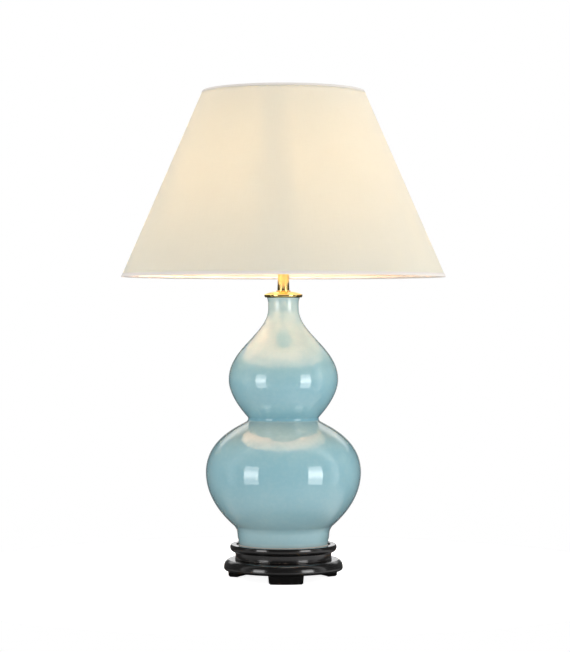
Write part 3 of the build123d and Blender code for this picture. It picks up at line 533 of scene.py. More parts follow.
def lacquer_finish(colours, sizes):
    """Black lacquer over close grained wood, rubbed brown here and there on the waist's bead."""
    f = Finish("black_lacquered_wood")
    angle = f.maths("MULTIPLY", f.ring_angle(), 0.012)
    ring = f.add("CombineXYZ", {0: angle, 1: f.axis_distance(), 2: f.z})
    grain = f.noise(620.0, 4.0, 0.65, ring.outputs[0])
    pores = f.noise(1400.0, 2.0, 0.5, f.stretched((0.12, 1.0, 1.0)))
    cloud = f.noise(38.0, 3.0)
    tone = f.blend(f.spread(grain, 0.35, 0.75, 0.0, 0.5), colours.lacquer, display(18, 16, 14))
    from_bead = f.maths("ABSOLUTE", f.maths("SUBTRACT", f.z, apron_top + sizes.bead_height / 2))
    bead = f.spread(from_bead, 0.2 * MM, 0.8 * MM, 1.0, 0.0)
    outside = f.spread(f.axis_distance(), sizes.waist_r + 0.2 * MM, sizes.waist_r + 0.8 * MM)
    broken = f.spread(f.noise(150.0, 3.0, 0.7), 0.48, 0.62)
    rubbed = f.maths("MULTIPLY", f.maths("MULTIPLY", bead, outside), broken)
    tone = f.blend(f.maths("MULTIPLY", rubbed, 0.7), tone, colours.wear)
    turned_lines = f.bump(grain, 0.10 * MM, 0.35)
    pored = f.bump(f.spread(pores, 0.35, 0.6), 0.08 * MM, 0.35, turned_lines)
    f.surface(
        Base_Color=tone, Roughness=f.spread(cloud, 0.3, 0.7, 0.17, 0.27), Normal=pored, IOR=1.45,
        Coat_Weight=1.0, Coat_Roughness=0.09, Coat_IOR=1.6, Coat_Normal=f.bump(pores, 0.06 * MM, 0.5),
    )
    return f.material


def metal_finish(name, tone, dull, polish, lines=1.0):
    """Metal with fine lines round the lathe and a few cloudy patches."""
    f = Finish(name)
    cloud = f.noise(60.0, 3.0, 0.6)
    angle = f.maths("MULTIPLY", f.ring_angle(), 0.004)
    around = f.add("CombineXYZ", {0: angle, 1: f.axis_distance(), 2: f.z})
    brushed = f.noise(2600.0, 3.0, 0.6, around.outputs[0])
    colour = f.blend(f.spread(cloud, 0.45, 0.8, 0.0, 0.55), tone, dull)
    f.surface(
        Base_Color=colour, Metallic=1.0, Roughness=f.spread(cloud, 0.3, 0.75, polish, polish + 0.08),
        Normal=f.bump(brushed, 0.02 * MM, 0.10 * lines),
    )
    return f.material


def moulded_finish(name, tone, gloss=0.35, grain=0.1):
    """Moulded plastic, rubber or phenolic with a fine skin."""
    f = Finish(name)
    skin = f.noise(700.0, 3.0, 0.6)
    cloud = f.noise(45.0, 2.0)
    shade = tuple(part * 0.72 for part in tone)
    f.surface(
        Base_Color=f.blend(f.spread(cloud, 0.35, 0.7, 0.0, 0.6), tone, shade),
        Roughness=f.spread(skin, 0.3, 0.7, gloss, gloss + 0.12), Normal=f.bump(skin, 0.06 * MM, grain),
    )
    return f.material


def felt_finish():
    """Black wool felt."""
    f = Finish("black_felt")
    fibres = f.noise(1500.0, 4.0, 0.75, f.stretched((1.0, 0.5, 1.4)))
    tone = f.blend(f.spread(fibres, 0.35, 0.7), display(24, 24, 25), display(58, 57, 58))
    f.surface(Base_Color=tone, Roughness=0.95, Sheen_Weight=0.4, Normal=f.bump(fibres, 0.3 * MM, 0.8))
    return f.material


def cork_finish():
    """Fine pressed cork with dark crumbs."""
    f = Finish("pressed_cork")
    crumbs = f.add("TexVoronoi", {"Vector": f.position, "Scale": 700.0}, feature="F1")
    grade = f.add("SeparateColor", {0: crumbs.outputs["Color"]}).outputs[0]
    tone = f.blend(grade, display(186, 142, 98), display(140, 98, 62))
    tone = f.blend(f.spread(grade, 0.88, 0.95), tone, display(70, 46, 30))
    f.surface(Base_Color=tone, Roughness=0.9, Normal=f.bump(crumbs.outputs["Distance"], 0.2 * MM, 0.5))
    return f.material


def weave(f, pitch, slub):
    """Height of a fine plain weave on the piece's own UV map, in metres, and its slubs."""
    uv = f.add("TexCoord").outputs["UV"]
    apart = f.add("SeparateXYZ", {0: uv})
    across = f.maths("SINE", f.maths("MULTIPLY", apart.outputs[0], TURN / pitch))
    upward = f.maths("SINE", f.maths("MULTIPLY", apart.outputs[1], TURN / pitch))
    threads = f.maths("MULTIPLY", across, upward)
    weft = f.noise(1.0, 3.0, 0.6, f.stretched((45.0, 1600.0, 1.0), uv))
    warp = f.noise(1.0, 3.0, 0.6, f.stretched((1600.0, 38.0, 1.0), uv))
    slubs = f.maths("MULTIPLY", f.maths("ADD", weft, warp), slub)
    return f.maths("ADD", f.maths("MULTIPLY", threads, 0.25), slubs), slubs


def cloth_finish(name, tone, through, glow, pitch=0.55 * MM, strength=0.35):
    """Closely woven cloth that lets a little warm light through."""
    f = Finish(name)
    height, slubs = weave(f, pitch, 0.5)
    cloud = f.noise(14.0, 3.0)
    darker = tuple(part * 0.93 for part in tone)
    colour = f.blend(f.spread(slubs, 0.40, 0.60, 0.0, 0.5), tone, darker)
    colour = f.blend(f.spread(cloud, 0.35, 0.7, 0.0, 0.35), colour, darker)
    normal = f.bump(height, 0.06 * MM, strength)
    cloth = f.add(
        "BsdfPrincipled",
        {"Base Color": colour, "Roughness": 0.82, "Normal": normal, "Sheen Weight": 0.15,
         "Sheen Roughness": 0.4, "Specular IOR Level": 0.25},
    )
    light = f.add("BsdfTranslucent", {"Color": glow, "Normal": normal})
    mixed = f.add("MixShader", {0: through, 1: cloth.outputs[0], 2: light.outputs[0]})
    f.tree.links.new(mixed.outputs[0], f.output.inputs["Surface"])
    return f.material


def cloth_back_finish():
    """Unseen side of a cloth layer, which hands the light on to the next layer."""
    f = Finish("cloth_back")
    thread = f.noise(900.0, 2.0)
    light = f.add("BsdfTranslucent", {"Color": f.blend(thread, (0.95, 0.95, 0.95), (0.90, 0.90, 0.90))})
    f.tree.links.new(light.outputs[0], f.output.inputs["Surface"])
    return f.material


def bulb_glass_finish(glow):
    """Opal glass of a lit bulb, which lets the lamp inside shine through."""
    f = Finish("opal_bulb_glass")
    cloud = f.noise(90.0, 2.0)
    level = f.spread(f.z, GLOW_LOW, GLOW_HIGH, 6.0, 14.0)
    strength = f.maths("MULTIPLY", level, f.spread(cloud, 0.3, 0.7, 0.97, 1.0))
    lit = f.add("Emission", {"Color": glow, "Strength": strength})
    gloss = f.add("BsdfGlossy", {"Color": (1.0, 1.0, 1.0, 1.0), "Roughness": 0.08})
    edge = f.add("LayerWeight", {"Blend": 0.25})
    shine = f.maths("MULTIPLY", edge.outputs["Fresnel"], 0.5)
    glass = f.add("MixShader", {0: shine, 1: lit.outputs[0], 2: gloss.outputs[0]})
    shadow = f.add("LightPath").outputs["Is Shadow Ray"]
    open_glass = f.add("BsdfTransparent")
    mixed = f.add("MixShader", {0: shadow, 1: glass.outputs[0], 2: open_glass.outputs[0]})
    f.tree.links.new(mixed.outputs[0], f.output.inputs["Surface"])
    return f.material


def filament_finish(glow):
    """The lit filament."""
    f = Finish("lit_filament")
    f.surface(Base_Color=(0.9, 0.7, 0.4), Roughness=0.5, Emission_Color=glow, Emission_Strength=12.0)
    return f.material


FINISHES = {}


def make_finishes(scene):
    colours = scene.lamp_colours
    brass = tuple(colours.brass)
    FINISHES.update(
        glaze=glaze_finish(colours, scene.lamp_vase),
        clay=clay_finish(colours),
        black_wood=lacquer_finish(colours, scene.lamp_stand),
        brass=metal_finish("polished_brass", brass, tuple(part * 0.8 for part in brass), 0.04, 0.35),
        steel=metal_finish("zinc_plated_steel", display(196, 197, 192), display(150, 150, 146), 0.30, 3.0),
        nickel=metal_finish("bulb_metal", display(214, 214, 208), display(176, 176, 170), 0.22, 2.0),
        white_metal=moulded_finish("white_paint_on_wire", display(236, 234, 226), 0.30),
        black_nylon=moulded_finish("black_nylon", display(28, 28, 30), 0.42, 0.3),
        black_rubber=moulded_finish("black_rubber", display(30, 30, 31), 0.62, 0.5),
        pale_plastic=moulded_finish("pale_plastic", display(216, 212, 202), 0.45, 0.2),
        phenolic=moulded_finish("brown_phenolic", display(44, 34, 30), 0.22),
        felt=felt_finish(),
        cork=cork_finish(),
        shade_cloth=cloth_finish("shade_cloth", tuple(colours.fabric), 0.26, (0.86, 0.93, 0.62)),
        cloth_back=cloth_back_finish(),
        shade_lining=cloth_finish(
            "shade_lining", tuple(colours.lining), 0.30, (0.90, 0.93, 0.76), 0.4 * MM, 0.15
        ),
        shade_trim=cloth_finish("shade_trim", tuple(colours.trim), 0.05, (0.9, 0.75, 0.55), 0.7 * MM, 0.6),
        bulb_glass=bulb_glass_finish(tuple(colours.glow)),
        filament=filament_finish(tuple(colours.glow)),
    )


# ---------------------------------------------------------------- geometry node trees


class Shape(Graph):
    """A geometry node tree with named inputs, run on a base mesh to make one piece."""

    def __init__(self, name):
        super().__init__(bpy.data.node_groups.new(name, "GeometryNodeTree"), "GeometryNode")
        face = self.tree.interface
        face.new_socket("Geometry", in_out="INPUT", socket_type="NodeSocketGeometry")
        face.new_socket("Geometry", in_out="OUTPUT", socket_type="NodeSocketGeometry")
        self.entry = self.add("NodeGroupInput")
        self.exit = self.add("NodeGroupOutput")

    def wants(self, kind, *names):
        """Add inputs of a kind and return their sockets."""
        for name in names:
            self.tree.interface.new_socket(name, in_out="INPUT", socket_type="NodeSocket" + kind)
        return [self.entry.outputs[name] for name in names]

    def close(self, geometry, material):
        """End the tree in real geometry with its material set."""
        real = self.add("RealizeInstances", {"Geometry": geometry})
        painted = self.add("SetMaterial", {"Geometry": real.outputs[0], "Material": material})
        self.tree.links.new(painted.outputs[0], self.exit.inputs[0])
        return self.tree


def grown(name, tree, base, **inputs):
    """Run a geometry node tree on a base mesh and keep the result as a plain mesh."""
    source = new_object(name + "_base", base)
    modifier = source.modifiers.new("shape", "NODES")
    modifier.node_group = tree
    sockets = {
        item.name: item.identifier
        for item in tree.interface.items_tree
        if item.item_type == "SOCKET" and item.in_out == "INPUT"
    }
    for key, value in inputs.items():
        modifier[sockets[key.replace("_", " ")]] = value
    graph = bpy.context.evaluated_depsgraph_get()
    mesh = bpy.data.meshes.new_from_object(
        source.evaluated_get(graph), preserve_all_data_layers=True, depsgraph=graph
    )
    source.modifiers.remove(modifier)
    bpy.data.objects.remove(source)
    if not mesh.polygons:
        raise RuntimeError(f"{name} came out empty")
    mesh.name = name
    return smooth(new_object(name, mesh))


def spread_round(shape, geometry, count, first_angle):
    """Instances of a geometry spread evenly round the lamp's axis."""
    points = shape.add("Points", {"Count": count, "Position": (0.0, 0.0, 0.0)})
    index = shape.add("InputIndex").outputs[0]
    step = shape.maths("DIVIDE", TURN, count)
    angle = shape.maths("ADD", shape.maths("MULTIPLY", index, step), first_angle)
    turn = shape.add("ShaderNodeCombineXYZ", {2: angle})
    rotation = shape.add("FunctionNodeEulerToRotation", {0: turn.outputs[0]})
    placed = shape.add(
        "InstanceOnPoints",
        {"Points": points.outputs[0], "Instance": geometry, "Rotation": rotation.outputs[0]},
    )
    return placed.outputs[0]


def bent_wires_tree():
    """Wires bent along a path of straight runs and repeated round the axis."""
    shape = Shape("bent_wires")
    wire_r, bend_r, turn = shape.wants("Float", "Wire Radius", "Bend Radius", "First Angle")
    (count,) = shape.wants("Int", "Count")
    (material,) = shape.wants("Material", "Material")
    path = shape.add("MeshToCurve", {0: shape.entry.outputs[0]})
    bent = shape.add("FilletCurve", {"Curve": path.outputs[0], "Radius": bend_r, "Count": 10}, mode="POLY")
    section = shape.add("CurvePrimitiveCircle", {"Resolution": 20, "Radius": wire_r}, mode="RADIUS")
    wire = shape.add(
        "CurveToMesh", {"Curve": bent.outputs[0], "Profile Curve": section.outputs[0], "Fill Caps": True}
    )
    return shape.close(spread_round(shape, wire.outputs[0], count, turn), material)


def ring_of_copies_tree():
    """Copies of a small piece spread on a circle round the axis."""
    shape = Shape("ring_of_copies")
    circle_r, height, turn = shape.wants("Float", "Circle Radius", "Height", "First Angle")
    (count,) = shape.wants("Int", "Count")
    (material,) = shape.wants("Material", "Material")
    offset = shape.add("ShaderNodeCombineXYZ", {0: circle_r, 2: height})
    moved = shape.add("Transform", {"Geometry": shape.entry.outputs[0], "Translation": offset.outputs[0]})
    return shape.close(spread_round(shape, moved.outputs[0], count, turn), material)


def cone_skin_tree():
    """An open cone of cloth with its own UV map in metres, as a sheet round a shade has."""
    shape = Shape("cone_skin")
    low_r, high_r, low_z, high_z, bulge = shape.wants(
        "Float", "Lower Radius", "Upper Radius", "Lower Height", "Upper Height", "Bulge"
    )
    (material,) = shape.wants("Material", "Material")
    grid = shape.add(
        "MeshGrid", {"Size X": 1.0, "Size Y": 1.0, "Vertices X": 2 * ROUND_STEPS + 1, "Vertices Y": 40}
    )
    place = shape.add("InputPosition").outputs[0]
    apart = shape.add("ShaderNodeSeparateXYZ", {0: place})
    along = shape.maths("ADD", apart.outputs[0], 0.5)
    up = shape.maths("ADD", apart.outputs[1], 0.5)
    angle = shape.maths("MULTIPLY", along, TURN)
    radius = shape.spread(up, 0.0, 1.0, low_r, high_r, smoothly=False)
    height = shape.spread(up, 0.0, 1.0, low_z, high_z, smoothly=False)
    ring = shape.add("ShaderNodeCombineXYZ", {0: shape.maths("COSINE", angle), 1: shape.maths("SINE", angle)})
    drift = shape.add("ShaderNodeTexNoise", {"Vector": ring.outputs[0], "Scale": 1.6, "Detail": 1.0})
    middle = shape.maths("MULTIPLY", shape.maths("MULTIPLY", up, shape.maths("SUBTRACT", 1.0, up)), 4.0)
    sway = shape.maths("MULTIPLY", shape.maths("SUBTRACT", drift.outputs["Fac"], 0.5), middle)
    radius = shape.maths("SUBTRACT", radius, shape.maths("MULTIPLY", shape.maths("ABSOLUTE", sway), bulge))
    x = shape.maths("MULTIPLY", shape.maths("COSINE", angle), radius)
    y = shape.maths("MULTIPLY", shape.maths("SINE", angle), radius)
    spot = shape.add("ShaderNodeCombineXYZ", {0: x, 1: y, 2: height})
    mean_r = shape.maths("MULTIPLY", shape.maths("ADD", low_r, high_r), 0.5)
    across = shape.maths("MULTIPLY", angle, mean_r)
    chart = shape.add("ShaderNodeCombineXYZ", {0: across, 1: height})
    stored = shape.add(
        "StoreNamedAttribute",
        {"Geometry": grid.outputs["Mesh"], "Name": "UVMap", "Value": chart.outputs[0]},
        data_type="FLOAT2", domain="CORNER",
    )
    wrapped = shape.add("SetPosition", {"Geometry": stored.outputs[0], "Position": spot.outputs[0]})
    closed = shape.add("MergeByDistance", {"Geometry": wrapped.outputs[0], "Distance": 1e-6})
    return shape.close(closed.outputs[0], material)


def path_mesh(name, points):
    """A base mesh that holds only a path, drawn in the plane through the axis."""
    mesh = bpy.data.meshes.new(name)
    mesh.from_pydata([(r, 0.0, z) for r, z in points], [(i, i + 1) for i in range(len(points) - 1)], [])
    return mesh


def front_angle(angle):
    """Turn an angle counted from the front into one counted from +X."""
    return angle - math.pi / 2


# -------------------------------------------------------------------------- the vase


# Fullness of the gourd's curves: the lengths of their handles, and the slopes in degrees
FOOT_PULL, FOOT_SLOPE = 5 * MM, 50
LOWER_BELLY_PULL, LOWER_SHOULDER_PULL = 51.5 * MM, 57.5 * MM
CREASE_UNDER_PULL, CREASE_UNDER_SLOPE = 10 * MM, 45
CREASE_OVER_PULL, CREASE_OVER_SLOPE = 6.5 * MM, 53
UPPER_BELLY_PULL, UPPER_SHOULDER_PULL, NECK_PULL = 29 * MM, 50 * MM, 39 * MM
BEND_FULLNESS = 0.53     # how far an eased bend's handles reach towards its corner


def slope_handle(point, degrees, pull, up):
    """A curve's handle that leaves a point outwards at a slope, upwards or downwards."""
    angle = math.radians(degrees)
    return (point[0] + pull * math.cos(angle), point[1] + up * pull * math.sin(angle))


def eased(outline, corner, reach):
    """An outline with one soft bend in place of its points near a corner."""
    near = [index for index, point in enumerate(outline) if math.dist(point, corner) < reach]
    before, after = outline[near[0] - 1], outline[near[-1] + 1]
    pulls = [
        tuple(p + (c - p) * BEND_FULLNESS for p, c in zip(point, corner)) for point in (before, after)
    ]
    return outline[: near[0] - 1] + curve(before, *pulls, after) + outline[near[-1] + 2 :]


def gourd_side(s, inset, crease_inset, foot, foot_end, neck_end):
    """One side of the double gourd, from its foot to its neck, set in by a wall."""
    low = (vase_r - inset, vase_base + s.foot_height + s.lower_rise)
    fold = (s.crease_r - crease_inset, low[1] + s.shoulder_rise)
    high = (s.upper_r - inset, fold[1] + s.upper_rise)
    off_foot = slope_handle(foot_end, FOOT_SLOPE, FOOT_PULL, 1)
    under_fold = slope_handle(fold, CREASE_UNDER_SLOPE, CREASE_UNDER_PULL, -1)
    over_fold = slope_handle(fold, CREASE_OVER_SLOPE, CREASE_OVER_PULL, 1)
    side = joined(
        curve(foot, foot, foot_end, foot_end, 36),
        curve(foot_end, off_foot, (low[0], low[1] - LOWER_BELLY_PULL), low, 36),
        curve(low, (low[0], low[1] + LOWER_SHOULDER_PULL), under_fold, fold, 36),
        curve(fold, over_fold, (high[0], high[1] - UPPER_BELLY_PULL), high, 36),
        curve(
            high, (high[0], high[1] + UPPER_SHOULDER_PULL), (neck_end[0], neck_end[1] - NECK_PULL), neck_end, 36
        ),
    )
    return eased(eased(side, foot_end, s.foot_round), fold, s.crease_round)


class LAMP_OT_vase(bpy.types.Operator):
    """Turn the glazed double gourd vase"""

    bl_idname = "lamp.vase"
    bl_label = "Gourd vase"

    def execute(self, context):
        s = context.scene.lamp_vase
        foot_end = (s.foot_top_r, vase_base + s.foot_height)
        neck_base = foot_end[1] + s.lower_rise + s.shoulder_rise + s.upper_rise + s.neck_rise
        neck_end = (s.neck_r, neck_base)
        bore = s.neck_r - s.wall
        lip_start = (s.neck_r, vase_rim - s.neck_lip_height)
        lip_end = (s.neck_r + s.neck_lip, vase_rim)
        inner_r = s.foot_top_r - s.wall
        floor_low = vase_base + s.ring_depth
        floor_high = floor_low + s.floor
        outer = gourd_side(s, 0.0, 0.0, (s.foot_r, vase_base), foot_end, neck_end)
        inner = gourd_side(
            s, s.wall, s.crease_wall, (inner_r, floor_high), (inner_r, foot_end[1]), (bore, neck_base)
        )
        outline = joined(
            outer,
            bow(lip_start, lip_end, (s.neck_r, vase_rim - s.neck_lip_height / 2)),
            [(bore, vase_rim)],
            inner[::-1],
            [
                (s.hole_r, floor_high),
                (s.hole_r, floor_low),
                (s.foot_r - s.ring_width, floor_low),
                (s.foot_r - s.ring_width, vase_base),
            ],
        )
        bare_top = vase_base + s.bare_band

        def material_at(radius, height):
            return 1 if height < bare_top or (height < floor_high and radius < s.foot_r - s.wall) else 0

        vase = turned(
            "glazed_gourd_vase", softened(outline, 1 * MM), [FINISHES["glaze"], FINISHES["clay"]],
            material_at=material_at,
        )
        finished(vase, "lamp", "glaze", "gourd_vase")
        return {"FINISHED"}


# ------------------------------------------------------------------------- the stand


FEET = 3


def offset_ring(points, distance):
    """A closed plan outline moved outwards by a distance, or inwards by a negative one."""
    moved = []
    for index, point in enumerate(points):
        before, after = Vector(points[index - 1]), Vector(points[(index + 1) % len(points)])
        along = (after - before).normalized()
        moved.append(Vector(point) + Vector((along.y, -along.x)) * distance)
    return moved


def foot_block(s, angle, material):
    """One foot, carved with a small cove under the apron and softened edges below."""
    half = s.foot_width / 2
    outer = math.degrees(math.asin(half / s.foot_outer_r))
    inner = math.degrees(math.asin(half / s.apron_bore))
    plan = joined(
        arc((0.0, 0.0), s.foot_outer_r, -outer, outer, 16),
        arc((0.0, 0.0), s.apron_bore, inner, -inner, 12),
    )
    plan = softened(plan, s.foot_corner, 30, 5)
    top = foot_base + s.foot_height
    taper = s.foot_height * math.tan(math.radians(4))
    cove = [
        (top + 3 * MM, 0.9 * MM), (top + 0.4 * MM, 0.9 * MM), (top, 0.55 * MM), (top - 0.5 * MM, 0.18 * MM),
        (top - 1.2 * MM, -0.08 * MM),
    ]
    sole = [
        (foot_base + 0.8 * MM, -taper),
        (foot_base + 0.25 * MM, -0.2 * MM - taper),
        (foot_base, -0.75 * MM - taper),
    ]
    levels = cove + sole     # heights, and how far the plan is grown there
    turn = Matrix.Rotation(angle, 3, "Z")
    vertices = [turn @ Vector((*p, z)) for z, grow in levels for p in offset_ring(plan, grow)]
    count = len(plan)
    faces = [tuple(range(count)), tuple(reversed(range(len(vertices) - count, len(vertices))))]
    for level in range(len(levels) - 1):
        for i in range(count):
            j = (i + 1) % count
            above, below = level * count, (level + 1) * count
            faces.append((above + i, below + i, below + j, above + j))
    mesh = bpy.data.meshes.new("foot")
    mesh.from_pydata(vertices, [], faces)
    mesh.materials.append(material)
    return smooth(new_object("foot", mesh))


class LAMP_OT_stand(bpy.types.Operator):
    """Turn and carve the black wooden stand"""

    bl_idname = "lamp.stand"
    bl_label = "Wooden stand"

    def execute(self, context):
        s = context.scene.lamp_stand
        wood = FINISHES["black_wood"]
        arris = 0.5 * MM
        base = foot_base + s.foot_height
        belly = (apron_r, base + s.apron_rise)
        apron = joined(
            [(s.apron_bore, base)],
            bow((s.apron_foot_r, base), belly, (apron_r, base)),
            bow(belly, (s.apron_top_r, apron_top), (apron_r, apron_top - s.apron_brow)),
            [(s.ledge_bore, apron_top), (s.ledge_bore, apron_top - s.ledge), (s.apron_bore, apron_top - s.ledge)],
        )
        ring = turned("apron_ring", softened(apron, arris), [wood])
        first = front_angle(s.foot_turn)
        feet = [foot_block(s, first + TURN * index / FEET, wood) for index in range(FEET)]
        finished(welded("carved_apron", [ring] + feet), "lamp", "black_wood", "stand_apron")

        bead_pull = reach("stand_waist")[0] + 0.3 * MM
        bead_top = apron_top + s.bead_height
        bead = curve(
            (s.waist_r, apron_top), (bead_pull, apron_top), (bead_pull, bead_top), (s.waist_r, bead_top), 10
        )
        under = waist_top - s.plate_skirt
        flared_r = s.waist_r + s.waist_flare
        flare = bow((s.waist_r, bead_top + s.bead_height), (flared_r, under), (s.waist_r, under - 4 * MM))
        waist = joined(
            [(s.rod_hole_r, apron_top)],
            bead,
            flare,
            [(s.waist_r, under), (s.waist_r, waist_top), (s.rod_hole_r, waist_top)],
        )
        waist = turned("turned_waist", softened(waist, 0.2 * MM, 60), [wood])
        finished(waist, "lamp", "black_wood", "stand_waist")

        recess_floor = plate_top - s.recess_depth
        widest, corner = (plate_r, plate_top - s.plate_level), (plate_r - s.plate_slope, plate_top)
        plate = joined(
            [(s.rod_hole_r, waist_top), (s.waist_r, waist_top), (s.waist_r, under)],
            curve((flared_r, under), (plate_r - 3 * MM, under), (plate_r, widest[1] - 4 * MM), widest),
            bow(widest, corner, (plate_r, plate_top - MM)),
            [(s.recess_r, plate_top), (s.recess_r, recess_floor), (s.rod_hole_r, recess_floor)],
        )
        plate = turned("turned_plate", softened(plate, 0.35 * MM, 60), [wood])
        finished(plate, "lamp", "black_wood", "stand_plate")
        return {"FINISHED"}


class LAMP_OT_stand_fixings(bpy.types.Operator):
    """Set the wood screws and finish the pads, bushes, plug, rod and washers"""

    bl_idname = "lamp.stand_fixings"
    bl_label = "Stand fixings"

    def execute(self, context):
        head_r, dimple_r, dimple_depth, chamfer = 3.3 * MM, 0.5 * MM, 0.9 * MM, 1.7 * MM
        shank_r, root, half_pitch, plain, point = 1.6 * MM, 0.72, 0.7 * MM, 2 * MM, 1 * MM
        tree = ring_of_copies_tree()
        for name, circle_r, turn in (("apron_screws", 64 * MM, 0.0), ("waist_screws", 50 * MM, math.pi / 3)):
            low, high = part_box(name)
            rise = high.z - low.z
            rows = int((rise - chamfer - plain - point) / half_pitch)
            thread = [
                (shank_r * (root if row % 2 else 1.0), chamfer + plain + row * half_pitch) for row in range(rows)
            ]
            outline = joined(
                [(0.0, dimple_depth), (dimple_r, dimple_depth), (dimple_r, 0.0)],
                [(head_r, 0.0), (shank_r, chamfer)],
                thread,
                [(0.0, rise)],
            )
            screw = turned(name + "_copy", outline, [], SCREW_STEPS)
            base = screw.data.copy()
            bpy.data.objects.remove(screw)
            piece = grown(
                name.replace("screws", "wood_screws"), tree, base, Circle_Radius=circle_r, Height=low.z,
                First_Angle=front_angle(turn), Count=3, Material=FINISHES["steel"],
            )
            finished(piece, "lamp", "steel", name)
        dress(FINISHES["felt"], "felt_pads")
        dress(FINISHES["cork"], "vase_seat_ring")
        dress(FINISHES["black_nylon"], "cord_bush")
        dress(FINISHES["black_rubber"], "base_hole_bush", "neck_gasket")
        dress(FINISHES["pale_plastic"], "neck_plug")
        dress(
            FINISHES["steel"], "threaded_rod", "base_washer", "spring_washer", "rod_nut", "grub_screw", "lock_nut"
        )
        return {"FINISHED"}


# ---------------------------------------------------------------------- the brasswork


class LAMP_OT_neck_brass(bpy.types.Operator):
    """Spin the neck cap and turn its boss and the stem"""

    bl_idname = "lamp.neck_brass"
    bl_label = "Neck cap and stem"

    def execute(self, context):
        brass = FINISHES["brass"]
        rod_hole, land_r, sheet = 5.4 * MM, 11.6 * MM, 1.2 * MM
        edge, roll = 5.2 * MM, 1.7 * MM
        bore = 22.8 * MM
        dome = land_r + (cap_r - land_r) * 0.5
        widest = (cap_r, cap_base + 0.64 * edge)
        turn_in = (cap_r - 0.55 * roll, cap_base + edge)
        outline = joined(
            curve(
                (cap_r - roll, cap_base), (cap_r - 0.5 * roll, cap_base), (cap_r, widest[1] - 0.3 * edge), widest
            ),
            curve(widest, (cap_r, widest[1] + 0.2 * edge), (cap_r - 0.1 * roll, cap_base + edge), turn_in, 12),
            bow(turn_in, (land_r, cap_top), (dome, cap_top)),
            [(rod_hole, cap_top), (rod_hole, cap_top - sheet)],
            bow((land_r, cap_top - sheet), (bore, cap_base + edge), (dome - 2 * sheet, cap_top - sheet)),
            [(bore, cap_base)],
        )
        cap = turned("spun_neck_cap", softened(outline, 0.3 * MM, 50), [brass])
        finished(cap, "lamp", "brass", "neck_cap")
        boss_r, boss_low, boss_high = reach("cap_boss")
        outline = [(rod_hole, boss_low), (boss_r, boss_low), (boss_r, boss_high), (rod_hole, boss_high)]
        boss = turned("stem_boss", softened(outline, 0.6 * MM, steps=6), [brass], SMALL_STEPS)
        finished(boss, "lamp", "brass", "cap_boss")
        stem_r, stem_low, stem_high = reach("stem_tube")
        tube_wall, flare, flare_height = 1 * MM, 0.75 * MM, 24 * MM
        outline = [
            (stem_r - tube_wall, stem_low), (stem_r + flare, stem_low), (stem_r + flare, cap_top),
            (stem_r, cap_top + flare_height), (stem_r, stem_high), (stem_r - tube_wall, stem_high),
        ]
        stem = turned("brass_stem", softened(outline, 0.25 * MM, 45), [brass], SMALL_STEPS)
        finished(stem, "lamp", "brass", "stem_tube")
        return {"FINISHED"}


class LAMP_OT_lampholder(bpy.types.Operator):
    """Make the lampholder's cap, threaded body and clamp ring, and finish its push bar and other small parts"""

    bl_idname = "lamp.lampholder"
    bl_label = "Lampholder"

    def execute(self, context):
        brass = FINISHES["brass"]
        sheet = 0.9 * MM
        cap_outer, base, top = reach("holder_cap")
        boss_r, hole = 9.2 * MM, 5.05 * MM
        shoulder, rise = base + 4 * MM, base + 12 * MM
        bead = arc((cap_outer - 0.2 * MM, top - 1.2 * MM), 0.5 * MM, -60, 60, 6)
        outline = joined(
            [(hole, base), (boss_r, base)],
            bow((boss_r, shoulder), (cap_outer, rise), (cap_outer, shoulder)),
            bead,
            [(cap_outer, top), (cap_outer - sheet, top)],
            bow((cap_outer - sheet, rise), (boss_r, shoulder + sheet), (cap_outer - sheet, shoulder + sheet)),
            [(hole, shoulder + sheet)],
        )
        cap = turned("holder_brass_cap", softened(outline, 0.3 * MM, 50), [brass], SMALL_STEPS)
        finished(cap, "lamp", "brass", "holder_cap")

        flange_r, body_low, skirt_top = reach("holder_body")
        body_r, skirt_r, flange_top = 18.45 * MM, 20 * MM, reach("carrier_base_ring")[1]
        bore = body_r - sheet
        pitch, depth, plain_end, rows = 1.5 * MM, 0.28 * MM, 0.4 * MM, 120
        root_r, inner_r, flange_base = skirt_r - depth, skirt_r - sheet, flange_top - 1.5 * MM
        threaded = skirt_top - flange_top - 2 * plain_end
        skirt = [(root_r, flange_top + plain_end + threaded * row / rows) for row in range(rows + 1)]
        body = joined(
            [(bore, body_low), (body_r, body_low), (body_r, flange_base), (flange_r, flange_base)],
            [(flange_r, flange_top), (root_r, flange_top)],
            skirt,
            [(root_r, skirt_top), (inner_r, skirt_top), (inner_r, flange_top), (bore, flange_top)],
        )

        def thread(angle, radius, height):
            on_skirt = abs(radius - root_r) < 1e-6 and skirt[1][1] < height < skirt[-2][1]
            return depth * (0.5 + 0.5 * math.sin(TURN * height / pitch - angle)) if on_skirt else 0.0

        holder = turned("holder_threaded_body", body, [brass], 96, ripple=thread)
        finished(holder, "lamp", "brass", "holder_body")

        ring_r, ring_low, ring_high = reach("clamp_ring")
        ring_bore, bevel = 20.3 * MM, 0.8 * MM
        flute_count, flute_depth = 24, 0.9 * MM
        outline = joined(
            [(ring_bore, ring_low), (ring_r - bevel, ring_low), (ring_r, ring_low + bevel)],
            [(ring_r, ring_high - bevel), (ring_r - bevel, ring_high), (ring_bore, ring_high)],
        )

        def flutes(angle, radius, height):
            if radius <= ring_r - 0.5 * MM:
                return 0.0
            return -flute_depth * max(0.0, math.cos(flute_count * angle)) ** 2

        ring = turned("fluted_clamp_ring", softened(outline, 0.3 * MM), [brass], 2 * ROUND_STEPS, ripple=flutes)
        finished(ring, "clamp", "brass", "clamp_ring")
        dress(brass, "switch_bar", "terminal_screws", "centre_contact", "screw_shell", "carrier_base_ring")
        dress(FINISHES["phenolic"], "switch_block", "holder_liner")
        return {"FINISHED"}


